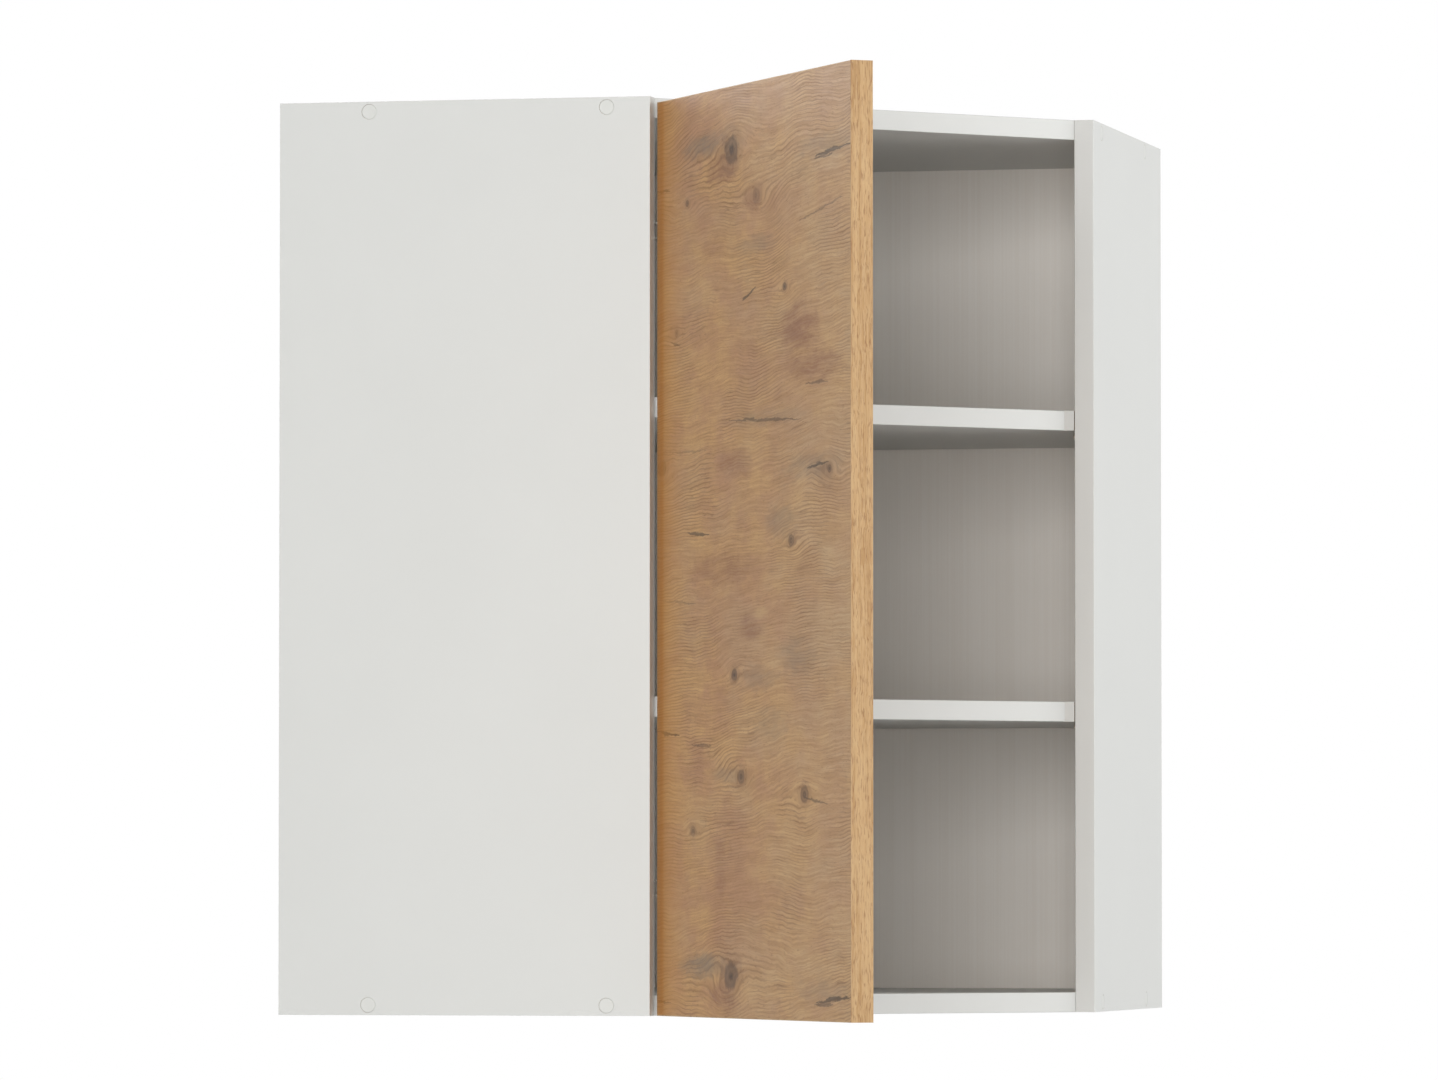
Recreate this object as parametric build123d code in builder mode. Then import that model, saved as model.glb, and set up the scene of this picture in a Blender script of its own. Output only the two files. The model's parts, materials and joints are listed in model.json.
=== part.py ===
"""Corner wall cabinet with a diagonal front: five-sided boards between two narrow side panels, two
shelves, thin backs, two adjustable wall hangers, and one plain door on two concealed corner hinges.

Millimetres, +Z up. The origin is the corner of the room at the height of the cabinet's underside. The
rear wall is the plane y = 0, the left wall is the plane x = 0, and the cabinet fills x > 0, y < 0. The
carcass mirrors itself across the plane x = -y, which runs from the room's corner through the door.
"""

import os
from math import sqrt

from build123d import *

# ---------------------------------------------------------------- carcass
wall_length = 598.0  # how far the cabinet reaches along each wall
height = 720.0
side_depth = 301.0  # depth of each side panel, from its wall
board = 16.0  # thickness of the carcass boards
band = 0.8  # thickness of the glued edge bands
band_round = 0.6  # rounding of the bands' outer edges

# ---------------------------------------------------------------- backs and corner post
back = 3.0  # thickness of the two backs
back_inset = 12.0  # from a wall to the back in front of it
groove_depth = 7.0
groove_play = 0.2  # groove width over the back's thickness
back_end_play = 0.5  # from a back's edge to the bottom of its groove
post = 30.0  # square corner post

# ---------------------------------------------------------------- shelves
lower_shelf_z = 234.0  # undersides
upper_shelf_z = 469.0
shelf_setback = 6.0  # shelf's front behind the carcass's diagonal front
shelf_play = 0.5  # at the side panels
shelf_back_play = 1.0  # at the backs and the post
pin_radius = 2.5
pin_length = 16.0
pin_socket_depth = 8.5
pin_nose_radius = 3.0  # the half of the pin that carries the shelf
pin_collar = 0.8  # how far the collar stands out round the nose
pin_bevel = 0.5
pin_row_pitch = 32.0  # spare holes above and below each pin
pin_from_front = 37.0
pin_from_wall = 55.0

# ---------------------------------------------------------------- carcass joints
screw_from_wall = 73.0  # connecting screws, measured along the side panel
screw_from_front = 35.0
screw_length = 49.0
screw_core_radius = 2.4
screw_neck_radius = 3.4
screw_head_radius = 4.8
screw_head_length = 3.0
screw_shoulder = 1.0  # length of the cones between the screw's head, neck and core
screw_point = 2.0
screw_crown = 0.75  # flat part of a small screw's head, as a share of its radius
cap_radius = 6.0  # cover caps over the screw heads
cap_thickness = 1.0
cap_bevel = (0.4, 0.3)  # across the cap's face, and down its rim
dowel_from_screw = 32.0
dowel_radius = 4.0
dowel_in_side = 11.0
dowel_in_board = 19.0
dowel_bevel = 1.0
joint_play = 0.1  # radial play of screws, dowels and caps in their holes
brad_radius = 0.8
brad_head = 0.6
brad_point = 1.5
brad_length = 15.0
brad_from_back = 21.0  # from the face of the other back
brad_count = 5

# ---------------------------------------------------------------- door
door_thickness = 18.0
door_top_gap = 4.0  # the door ends below the carcass so that it clears a cornice
door_end_gap = 0.2  # inside the carcass's diagonal opening at each end
door_gap = 2.0  # from the carcass's front to the closed door
door_band = 1.0
door_band_round = 0.7
bumper_radius = 4.0
bumper_thickness = 1.8
bumper_from_end = 14.0
bumper_from_edge = 6.0

# ---------------------------------------------------------------- hinges
# Pivots of the four-bar linkage with the door closed, as (distance along the door from the carcass's
# front corner, depth behind the carcass's diagonal front). Opening turns the door clockwise from above.
outer_link_arm_pivot = (38.8, 9.6)
outer_link_cup_pivot = (6.5, -3.8)
inner_link_arm_pivot = (23.0, -9.8)
inner_link_cup_pivot = (8.4, -8.0)
inner_link_eye_centre = (7.709, -8.844)  # middle of the travel of the cup's pin in the link's slot
outer_link_share = -0.211  # turn of each link for one degree of the door's
inner_link_share = -0.286
door_angle = 100.2  # the door as it stands in this model

hinge_from_end = 100.0  # hinge's middle from the door's top and bottom
cup_radius = 17.5
cup_depth = 12.0
cup_edge_distance = 3.0  # wood left between the cup and the door's end
cup_wall = 1.2
cup_floor = 0.6
cup_play = 0.1
flange_radius = 19.0
flange_thickness = 1.2
cup_screw_spacing = 48.0
cup_screw_offset = 6.0  # screws stand behind the cup's centre, away from the door's end
cup_screw_radius = 1.7
cup_screw_head_radius = 3.4
cup_screw_length = 13.0
cup_screw_head = 1.6
ear_margin = 2.0  # of the flange round the cup's screw heads
boss_reach = 5.6  # from the cup's wall at the door's end, over its pins
boss_half_gap = 5.4  # half height of the room between the bosses
window_depth = 11.0  # of the opening in the cup's wall between the bosses
window_reach = 1.5  # how far the opening is cut past the wall
cup_pin_half = 7.4  # half length of the cup's pins

inner_link_half = 2.8  # half heights of the links and the arm
outer_link_inner_half = 3.6
outer_link_half = 5.0
arm_inner_half = 5.3
arm_half = 6.5
pivot_pin_radius = 1.0
arm_pin_radius = 1.2
arm_pin_head_radius = 1.8
pin_fit = 0.05  # radial running clearance of the pins
pin_overhang = 0.4
link_half_width = 1.4
cup_eye_radius = 2.0
arm_eye_radius = 2.6
slot_travel = 2.4  # length of the inner link's slot between its end centres
slot_direction = 49.0
slot_side_play = 0.55  # the slot's width over the pin, each side
slot_wall = 0.9
outer_link_hook = ((10.9, -5.8), (16.7, 4.1))  # bends that carry the link over the cup's rim
inner_link_bow = (15.9, -11.2)
link_bend_radius = 2.2
link_web = 1.1
link_web_span = (0.25, 0.85)  # part of the straight stretch that the web fills

arm_low = 7.0  # arm's channel, measured from the side panel's inner face
arm_high = 16.2
arm_sheet = 1.2
arm_length = 70.0  # behind the side panel's front edge
arm_nose_start = 12.0
arm_boss_radius = 2.8
arm_outer_boss_radius = 3.2
plate_from_front = 37.0  # line of the plate's screws
plate_screw_spacing = 32.0
plate_base = 2.5
plate_wing = (16.0, 46.0)
plate_tongue = (52.0, 15.0)
plate_tongue_round = 3.0
ridge_width = 9.8
ridge_ends = (14.0, 62.0)
plate_screw_radius = 2.5
plate_screw_length = 12.0
plate_screw_head_radius = 3.6
adjuster_from_front = (24.0, 54.0)
adjuster_radius = 2.0
adjuster_head_radius = 3.2
adjuster_head = 1.5
adjuster_depth = 8.0

# ---------------------------------------------------------------- wall hangers
hanger_size = (58.0, 17.0, 60.0)  # along the side panel, off it, and up
hanger_wall = 2.5
hanger_round = 3.0
hanger_below_top = 4.0
hanger_screw_radius = 2.0
hanger_screw_length = 11.0  # in the side panel
hanger_screw_head = (3.6, 1.8)  # radius and height
hanger_screw_inset = 6.0
hanger_boss_radius = 4.0
hook_sheet = 2.0
hook_lip = (1.0, 3.0)  # the lip's distance from the wall, and its thickness
hook_throat = 4.0  # room in front of the lip for a wall rail
hook_throat_height = 4.0
hook_drop = 17.0
hook_arm_height = 14.0
hook_lift = 5.0  # each way from the middle
hook_pull = 8.0  # towards the front
slider_length = 16.0  # along the side panel
slider_height = 44.0
slider_from_back = 23.0
slider_fit = 0.1
guide_rib = 2.5
adjuster_shaft_radius = 2.5  # the hanger's two adjusting screws
adjuster_cap = (4.0, 1.8)  # radius and height of their heads
height_screw_play = 0.5  # over the screw's tip, with the slider at its lowest
depth_screw_length = 14.0

# ---------------------------------------------------------------- derived values
inner = wall_length - board  # inner face of each side panel
front_diagonal = sqrt(2) * (inner - side_depth)  # between the side panels' front corners
corner_mirror = Plane(origin=(0, 0, 0), x_dir=(0, 0, 1), z_dir=(1, 1, 0))
low_corner = (Align.MIN, Align.MIN, Align.MIN)
back_face = back_inset + back  # front face of each back, from its wall
screw_positions = (screw_from_wall, side_depth - screw_from_front)
dowel_positions = (screw_positions[0] + dowel_from_screw, screw_positions[1] - dowel_from_screw)
joint_heights = (board / 2, height - board / 2)
shelves = {"lower": lower_shelf_z, "upper": upper_shelf_z}
pin_positions = (pin_from_wall, side_depth - pin_from_front)
door_height = height - door_top_gap
hinges = {"lower": hinge_from_end, "upper": door_height - hinge_from_end}
door_width = front_diagonal - 2 * door_end_gap
cup_centre = door_end_gap + cup_edge_distance + cup_radius

# Faces of the left side panel that sketches are drawn on. Their local y is up.
outer_face = Plane(origin=(0, -wall_length, 0), x_dir=(1, 0, 0), z_dir=(0, -1, 0))
inner_face = Plane(origin=(0, -inner, 0), x_dir=(-1, 0, 0), z_dir=(0, 1, 0))

# Plan of the front: x along the closed door, y into the cabinet, from the side panel's front corner.
front = Plane(origin=(side_depth, -inner, 0), x_dir=(1, 1, 0), z_dir=(0, 0, 1))
# Plan of the side panel: x off its inner face, y back from its front edge.
panel = Plane(origin=(side_depth, -inner, 0), x_dir=(0, 1, 0), z_dir=(0, 0, 1))


def grid(xs, ys):
    """Every pair of one value from xs and one from ys."""
    return [(x, y) for x in xs for y in ys]


def mirrored(point):
    """The plan point across the cabinet's mirror plane."""
    return (-point[1], -point[0])


def finish(builder, name):
    """Labels a finished piece and writes it to its own file."""
    builder.part.label = name
    export_step(builder.part, f"parts/{name}.step")


def carried(start, moved, turn):
    """The front plan as a link or the door carries it: turned clockwise, with start taken to moved."""
    origin = Vector(*moved) - Vector(*start).rotate(Axis.Z, -turn)
    x_dir = Vector(1, 0).rotate(Axis.Z, -turn)
    return Plane(
        origin=front.from_local_coords(origin),
        x_dir=front.from_local_coords(x_dir) - front.origin,
        z_dir=(0, 0, 1),
    )


def swung(point, pivot, turn):
    """A plan point after a clockwise turn about a pivot."""
    arm = Vector(*point) - Vector(*pivot)
    return tuple(Vector(*pivot) + arm.rotate(Axis.Z, -turn))[:2]


def turned_piece(profile, plane):
    """A turned piece: a closed profile of (radius, distance) points, its axis the plane's normal."""
    turning = Plane(origin=plane.origin, x_dir=plane.x_dir, z_dir=plane.x_dir.cross(plane.z_dir))
    with BuildPart() as piece:
        with BuildSketch(turning):
            with BuildLine():
                Polyline(*profile, close=True)
            make_face()
        revolve(axis=Axis(plane.origin, plane.z_dir))
    return piece.part


def set_of(make, plane, points):
    """Copies of one turned piece at the given points of a plane."""
    with BuildPart() as group:
        for x, y in points:
            at = Plane(origin=plane.from_local_coords(Vector(x, y)), x_dir=plane.x_dir, z_dir=plane.z_dir)
            add(turned_piece(make, at))
    return group.part


def both_sides(part):
    """A group of pieces at the left side panel, with its mirror image at the right one."""
    with BuildPart() as pair:
        add(part)
        mirror(part, about=corner_mirror)
    return pair


outer_link_turn = outer_link_share * door_angle
inner_link_turn = inner_link_share * door_angle
outer_link_plan = carried(outer_link_arm_pivot, outer_link_arm_pivot, outer_link_turn)
inner_link_plan = carried(inner_link_arm_pivot, inner_link_arm_pivot, inner_link_turn)
door_plan = carried(
    outer_link_cup_pivot,
    swung(outer_link_cup_pivot, outer_link_arm_pivot, outer_link_turn),
    door_angle,
)
door_in = door_plan.y_dir  # from the door's back into the cabinet when it is closed


def door_back_plane(along, up, lift=0.0):
    """A plane on the door's back, facing out of it. Its local x runs along the door."""
    at = door_plan.from_local_coords(Vector(along, lift - door_gap, up))
    return Plane(origin=at, x_dir=door_plan.x_dir, z_dir=door_in)


def in_panel_plan(point):
    """A point of the front plan in the side panel's plan."""
    local = panel.to_local_coords(front.from_local_coords(Vector(*point)))
    return (local.X, local.Y)


os.makedirs("parts", exist_ok=True)

# ================================================================ carcass boards
shelf_pin_rows = [z - pin_nose_radius + step * pin_row_pitch for z in shelves.values() for step in (-1, 0, 1)]
plate_screw_heights = [z + step * plate_screw_spacing / 2 for z in hinges.values() for step in (-1, 1)]
hanger_top = height - board - hanger_below_top
hanger_low = hanger_top - hanger_size[2]
hanger_front = back_face + hanger_size[0]
hanger_screw_points = grid(
    (-back_face - hanger_screw_inset, hanger_screw_inset - hanger_front),
    (hanger_low + hanger_screw_inset, hanger_top - hanger_screw_inset),
)

with BuildPart() as side_blank:
    # What both side panels share, drawn as the left one.
    with Locations((0, -wall_length, band)):
        Box(side_depth - band, board, height - band, align=low_corner)
    with Locations((back_inset - groove_play / 2, -inner - groove_depth, 0)):
        Box(back + groove_play, groove_depth, height, align=low_corner, mode=Mode.SUBTRACT)
    with BuildSketch(outer_face):
        with Locations(grid(screw_positions, joint_heights)):
            Circle(cap_radius + joint_play)
    extrude(amount=-cap_thickness, mode=Mode.SUBTRACT)
    with BuildSketch(outer_face):
        with Locations(grid(screw_positions, joint_heights)):
            Circle(screw_head_radius + joint_play)
    extrude(amount=-cap_thickness - screw_head_length - joint_play, mode=Mode.SUBTRACT)
    with BuildSketch(outer_face):
        with Locations(grid(screw_positions, joint_heights)):
            Circle(screw_neck_radius + joint_play)
    extrude(amount=-board, mode=Mode.SUBTRACT)
    with BuildSketch(inner_face):
        with Locations(grid([-x for x in dowel_positions], joint_heights)):
            Circle(dowel_radius + joint_play)
    extrude(amount=-dowel_in_side - joint_play, mode=Mode.SUBTRACT)
    with BuildSketch(inner_face):
        with Locations(grid([-x for x in pin_positions], shelf_pin_rows)):
            Circle(pin_radius)
    extrude(amount=-pin_socket_depth - joint_play, mode=Mode.SUBTRACT)
    with BuildSketch(inner_face):
        with Locations(hanger_screw_points):
            Circle(hanger_screw_radius + joint_play)
    extrude(amount=-hanger_screw_length - joint_play, mode=Mode.SUBTRACT)

with BuildPart() as left_side:
    add(side_blank.part)
    with BuildSketch(inner_face):
        with Locations(grid((plate_from_front - side_depth,), plate_screw_heights)):
            Circle(plate_screw_radius + joint_play)
    extrude(amount=-plate_screw_length - joint_play, mode=Mode.SUBTRACT)
finish(left_side, "left_side")

with BuildPart() as right_side:
    mirror(side_blank.part, about=corner_mirror)
finish(right_side, "right_side")


def front_points(setback, play):
    """Front edge of a five-sided board, from the left side panel to the mirror plane."""
    bend = (side_depth, -inner + sqrt(2) * setback)
    return [(side_depth, -inner + play), bend]


def board_points(setback, play, rear, thickness=0.0):
    """Outline of a board whose front is cut back by a band's thickness, left half first."""
    depth = side_depth - thickness
    left = [
        (rear, -inner + play),
        (depth, -inner + play),
        (depth, -inner + sqrt(2) * (setback + thickness) - thickness),
    ]
    if setback == 0:
        left = [(rear, -inner), (side_depth - sqrt(2) * thickness, -inner)]
    return left + [mirrored(p) for p in reversed(left)]


def panel_board(floor):
    """Top or bottom panel's blank: five-sided, with grooves in the face at height floor."""
    with BuildPart() as blank:
        with BuildSketch():
            with BuildLine():
                Polyline(*board_points(0, 0, 0, band), (0, 0), close=True)
            make_face()
        extrude(amount=board)
        with Locations((back_inset - groove_play / 2, -wall_length, floor)):
            Box(
                back + groove_play,
                wall_length - back_inset + groove_play / 2,
                groove_depth,
                align=low_corner,
                mode=Mode.SUBTRACT,
            )
        with BuildSketch(Plane(origin=(0, -inner, 0), x_dir=(1, 0, 0), z_dir=(0, -1, 0))):
            with Locations(grid(screw_positions, (board / 2,))):
                Circle(screw_core_radius + joint_play)
        extrude(amount=board - screw_length, mode=Mode.SUBTRACT)
        with BuildSketch(Plane(origin=(0, -inner, 0), x_dir=(1, 0, 0), z_dir=(0, -1, 0))):
            with Locations(grid(dowel_positions, (board / 2,))):
                Circle(dowel_radius + joint_play)
        extrude(amount=-dowel_in_board - joint_play, mode=Mode.SUBTRACT)
        # What is cut at the left side panel is cut at the right one too.
        mirror(about=corner_mirror, mode=Mode.INTERSECT)
    return blank.part


with BuildPart() as bottom_panel:
    add(panel_board(board - groove_depth))
finish(bottom_panel, "bottom_panel")

with BuildPart() as top_panel:
    with Locations((0, 0, height - board)):
        add(panel_board(0))
finish(top_panel, "top_panel")

# ================================================================ backs and corner post
groove_end = inner + groove_depth - back_end_play
back_low = board - groove_depth + back_end_play
back_height = height - 2 * back_low
post_middle = back_face + post / 2
pin_rises = [z - pin_nose_radius for z in shelves.values()]
brad_rises = [board + (height - 2 * board) * (k + 0.5) / brad_count for k in range(brad_count)]
brad_points = [(back_face + brad_from_back, z) for z in brad_rises]
post_side = Plane(origin=(back_face, 0, 0), x_dir=(0, -1, 0), z_dir=(-1, 0, 0))
post_front = Plane(origin=(back_face + post, 0, 0), x_dir=(0, 1, 0), z_dir=(1, 0, 0))

brad_profile = [
    (0, back),
    (2 * brad_radius, back),
    (2 * brad_radius, back - brad_head),
    (brad_radius, back - brad_head),
    (brad_radius, brad_point - brad_length),
    (0, -brad_length),
]
brad_hole_profile = [
    (0, back),
    (2 * brad_radius + joint_play, back),
    (2 * brad_radius + joint_play, back - brad_head),
    (brad_radius + joint_play, back - brad_head),
    (brad_radius + joint_play, -brad_length - joint_play),
    (0, -brad_length - joint_play),
]
back_brads = both_sides(set_of(brad_profile, post_side, brad_points))
finish(back_brads, "back_brads")
brad_holes = both_sides(set_of(brad_hole_profile, post_side, brad_points)).part

with BuildPart() as left_back:
    with Locations((back_inset, -groove_end, back_low)):
        Box(back, groove_end - back_inset, back_height, align=low_corner)
    with Locations((0, -groove_end, hanger_low)):
        Box(wall_length, groove_end - inner + hanger_size[1], height, align=low_corner, mode=Mode.SUBTRACT)
    add(brad_holes, mode=Mode.SUBTRACT)
finish(left_back, "left_back")

with BuildPart() as right_back:
    with Locations((back_face, -back_face, back_low)):
        Box(groove_end - back_face, back, back_height, align=low_corner)
    with Locations((inner - hanger_size[1], -wall_length, hanger_low)):
        Box(wall_length, wall_length, height, align=low_corner, mode=Mode.SUBTRACT)
    add(brad_holes, mode=Mode.SUBTRACT)
finish(right_back, "right_back")

with BuildPart() as corner_post:
    with Locations((back_face, -back_face - post, board)):
        Box(post, post, height - 2 * board, align=low_corner)
    with BuildSketch(post_front):
        with Locations([(-post_middle, z) for z in pin_rises]):
            Circle(pin_radius)
    extrude(amount=-pin_socket_depth - joint_play, mode=Mode.SUBTRACT)
    mirror(about=corner_mirror, mode=Mode.INTERSECT)
    add(brad_holes, mode=Mode.SUBTRACT)
finish(corner_post, "corner_post")

# ================================================================ shelves
shelf_rear = back_face + shelf_back_play
notch = back_face + post + shelf_back_play
for name, shelf_z in shelves.items():
    with BuildPart() as shelf:
        with BuildSketch(Plane.XY.offset(shelf_z)):
            with BuildLine():
                Polyline(
                    *board_points(shelf_setback, shelf_play, shelf_rear, band),
                    (notch, -shelf_rear),
                    (notch, -notch),
                    (shelf_rear, -notch),
                    close=True,
                )
            make_face()
        extrude(amount=board)
    finish(shelf, f"{name}_shelf")

# ================================================================ edge bands of the carcass
diagonal_axis = Axis((0, 0, 0), (1, -1, 0))


def strip(outer, inner_line, low, thickness):
    """An edge band between two lines of plan points, its long outer edges rounded."""
    with BuildPart() as piece:
        with BuildSketch(Plane.XY.offset(low)):
            with BuildLine():
                Polyline(*outer, *reversed(inner_line), close=True)
            make_face()
        extrude(amount=thickness)
        along = piece.edges().filter_by(Axis((0, 0, 0), (1, 1, 0)))
        fillet(along.group_by(diagonal_axis)[-1], band_round)
    return piece.part


def front_strip(setback, play, low):
    """The band of a five-sided board's front edge."""
    if setback == 0:
        outer = [(side_depth, -inner)]
        behind = [(side_depth - sqrt(2) * band, -inner)]
    else:
        outer = front_points(setback, play)
        behind = [
            (side_depth - band, -inner + play),
            (side_depth - band, -inner + sqrt(2) * (setback + band) - band),
        ]
    outer += [mirrored(p) for p in reversed(outer)]
    behind += [mirrored(p) for p in reversed(behind)]
    return strip(outer, behind, low, board)


with BuildPart() as left_front_band:
    with Locations((side_depth - band, -wall_length, 0)):
        Box(band, board, height, align=low_corner)
    fillet(left_front_band.edges().filter_by(Axis.Z).group_by(Axis.X)[-1], band_round)
side_front_bands = both_sides(left_front_band.part)
finish(side_front_bands, "side_front_bands")

with BuildPart() as left_lower_band:
    with Locations((0, -wall_length, 0)):
        Box(side_depth - band, board, band, align=low_corner)
side_lower_bands = both_sides(left_lower_band.part)
finish(side_lower_bands, "side_lower_bands")

with BuildPart() as panel_bands:
    add(front_strip(0, 0, 0))
    add(front_strip(0, 0, height - board))
finish(panel_bands, "top_and_bottom_bands")

with BuildPart() as shelf_bands:
    for shelf_z in shelves.values():
        add(front_strip(shelf_setback, shelf_play, shelf_z))
finish(shelf_bands, "shelf_bands")

# ================================================================ fasteners of the carcass

screw_profile = [
    (0, -cap_thickness - joint_play),
    (screw_head_radius, -cap_thickness - joint_play),
    (screw_head_radius, -cap_thickness - screw_head_length + screw_shoulder),
    (screw_neck_radius, -cap_thickness - screw_head_length),
    (screw_neck_radius, screw_shoulder - board),
    (screw_core_radius, -board),
    (screw_core_radius, screw_point - screw_length),
    (0, -screw_length + joint_play),
]
cap_profile = [
    (0, 0),
    (cap_radius - cap_bevel[0], 0),
    (cap_radius, -cap_bevel[1]),
    (cap_radius, -cap_thickness),
    (0, -cap_thickness),
]
dowel_profile = [
    (0, -dowel_in_side),
    (dowel_radius - dowel_bevel, -dowel_in_side),
    (dowel_radius, dowel_bevel - dowel_in_side),
    (dowel_radius, dowel_in_board - dowel_bevel),
    (dowel_radius - dowel_bevel, dowel_in_board),
    (0, dowel_in_board),
]
pin_profile = [
    (0, -pin_socket_depth),
    (pin_radius - joint_play, -pin_socket_depth),
    (pin_radius - joint_play, 0),
    (pin_nose_radius + pin_collar, 0),
    (pin_nose_radius + pin_collar, shelf_play / 2),
    (pin_nose_radius, shelf_play / 2),
    (pin_nose_radius, pin_length - pin_socket_depth - pin_bevel),
    (pin_nose_radius - pin_bevel, pin_length - pin_socket_depth),
    (0, pin_length - pin_socket_depth),
]

connecting_screws = both_sides(set_of(screw_profile, outer_face, grid(screw_positions, joint_heights)))
finish(connecting_screws, "connecting_screws")

cover_caps = both_sides(set_of(cap_profile, outer_face, grid(screw_positions, joint_heights)))
finish(cover_caps, "cover_caps")

dowel_points = grid([-x for x in dowel_positions], joint_heights)
dowels = both_sides(set_of(dowel_profile, inner_face, dowel_points))
finish(dowels, "dowels")

side_pin_points = grid([-x for x in pin_positions], pin_rises)
post_pin_points = [(-post_middle, z) for z in pin_rises]
with BuildPart() as left_pins:
    add(set_of(pin_profile, inner_face, side_pin_points))
    add(set_of(pin_profile, post_front, post_pin_points))
shelf_pins = both_sides(left_pins.part)
finish(shelf_pins, "shelf_pins")

# ================================================================ door
door_middle = (door_end_gap + door_width / 2, -door_gap - door_thickness / 2)
core_width = door_width - 2 * door_band
cup_screw_points = [(0, step * cup_screw_spacing / 2) for step in (-1, 1)]

with BuildPart() as door_panel:
    with BuildSketch(door_plan.offset(door_band)):
        with Locations(door_middle):
            Rectangle(core_width, door_thickness)
    extrude(amount=door_height - 2 * door_band)
    for z in hinges.values():
        with BuildSketch(door_back_plane(cup_centre, z)):
            Circle(cup_radius)
        extrude(amount=-cup_depth - joint_play, mode=Mode.SUBTRACT)
        with BuildSketch(door_back_plane(cup_centre + cup_screw_offset, z)):
            with Locations(cup_screw_points):
                Circle(cup_screw_radius + joint_play)
        extrude(amount=-cup_screw_length - joint_play, mode=Mode.SUBTRACT)
finish(door_panel, "door_panel")

with BuildPart() as door_end_bands:
    with BuildSketch(door_plan):
        with Locations(door_middle):
            Rectangle(door_width, door_thickness)
            Rectangle(core_width, door_thickness, mode=Mode.SUBTRACT)
    extrude(amount=door_height)
    uprights = door_end_bands.edges().filter_by(Axis.Z).group_by(Axis(door_plan.origin, door_plan.x_dir))
    fillet(uprights[0] + uprights[-1], door_band_round)
finish(door_end_bands, "door_end_bands")

with BuildPart() as door_long_bands:
    # Along the door's top and bottom, between the two end bands.
    for low in (0, door_height - door_band):
        with BuildSketch(door_plan.offset(low)):
            with Locations(door_middle):
                Rectangle(core_width, door_thickness)
        extrude(amount=door_band)
    levels = door_long_bands.edges().filter_by(Axis(door_plan.origin, door_plan.x_dir)).group_by(Axis.Z)
    fillet(levels[0] + levels[-1], door_band_round)
finish(door_long_bands, "door_long_bands")

with BuildPart() as door_bumpers:
    with BuildSketch(door_back_plane(0, 0)):
        with Locations(
            (door_end_gap + door_width - bumper_from_end, -bumper_from_edge),
            (door_end_gap + door_width - bumper_from_end, bumper_from_edge - door_height),
        ):
            Circle(bumper_radius)
    extrude(amount=bumper_thickness)
    fillet(door_bumpers.edges().group_by(Axis(door_plan.origin, door_in))[-1], bumper_thickness / 2)
finish(door_bumpers, "door_bumpers")

# ================================================================ hinges
cup_outer = cup_radius - cup_play
cup_mouth = cup_outer - cup_wall
pin_hole = pivot_pin_radius + pin_fit
arm_pin_hole = arm_pin_radius + pin_fit
cup_pins_at = (outer_link_cup_pivot, inner_link_cup_pivot)
arm_pins_at = (outer_link_arm_pivot, inner_link_arm_pivot)
ridge_top = arm_high - arm_sheet


def hinge_cup(z):
    """The bored-in cup: flange, well, and the two bosses that hold its pins."""
    rim = door_back_plane(cup_centre, z)
    well = cup_depth - cup_floor
    boss_height = cup_radius - boss_half_gap
    boss_places = [
        (-cup_mouth + boss_reach / 2, step * (boss_half_gap + boss_height / 2)) for step in (-1, 1)
    ]
    with BuildPart() as cup:
        with BuildSketch(rim):
            Circle(cup_outer)
        extrude(amount=-cup_depth)
        with BuildSketch(rim):
            Circle(flange_radius)
            with Locations([(cup_screw_offset, y) for x, y in cup_screw_points]):
                Circle(cup_screw_head_radius + ear_margin)
            make_hull()
        extrude(amount=flange_thickness)
        # The bosses stand no higher than the door's back.
        with BuildSketch(rim):
            Circle(cup_mouth)
        extrude(amount=flange_thickness, mode=Mode.SUBTRACT)
        with BuildSketch(rim):
            Circle(cup_mouth)
            with Locations(boss_places):
                Rectangle(boss_reach, boss_height, mode=Mode.SUBTRACT)
        extrude(amount=-well, mode=Mode.SUBTRACT)
        with BuildSketch(rim.offset(flange_thickness)):
            with Locations((-flange_radius, 0)):
                Rectangle(2 * (flange_radius - cup_mouth + window_reach), 2 * boss_half_gap)
        extrude(amount=-flange_thickness - window_depth, mode=Mode.SUBTRACT)
        with BuildSketch(rim.offset(flange_thickness)):
            with Locations([(cup_screw_offset, y) for x, y in cup_screw_points]):
                Circle(cup_screw_radius + joint_play)
        extrude(amount=-flange_thickness, mode=Mode.SUBTRACT)
        with BuildSketch(door_plan.offset(z)):
            with Locations(cup_pins_at):
                Circle(pin_hole)
        extrude(amount=cup_pin_half + joint_play, both=True, mode=Mode.SUBTRACT)
    return cup


def link_path(points):
    """The middle line of a link, from pivot to pivot, with its bends rounded."""
    return FilletPolyline(*points, radius=link_bend_radius)


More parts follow.
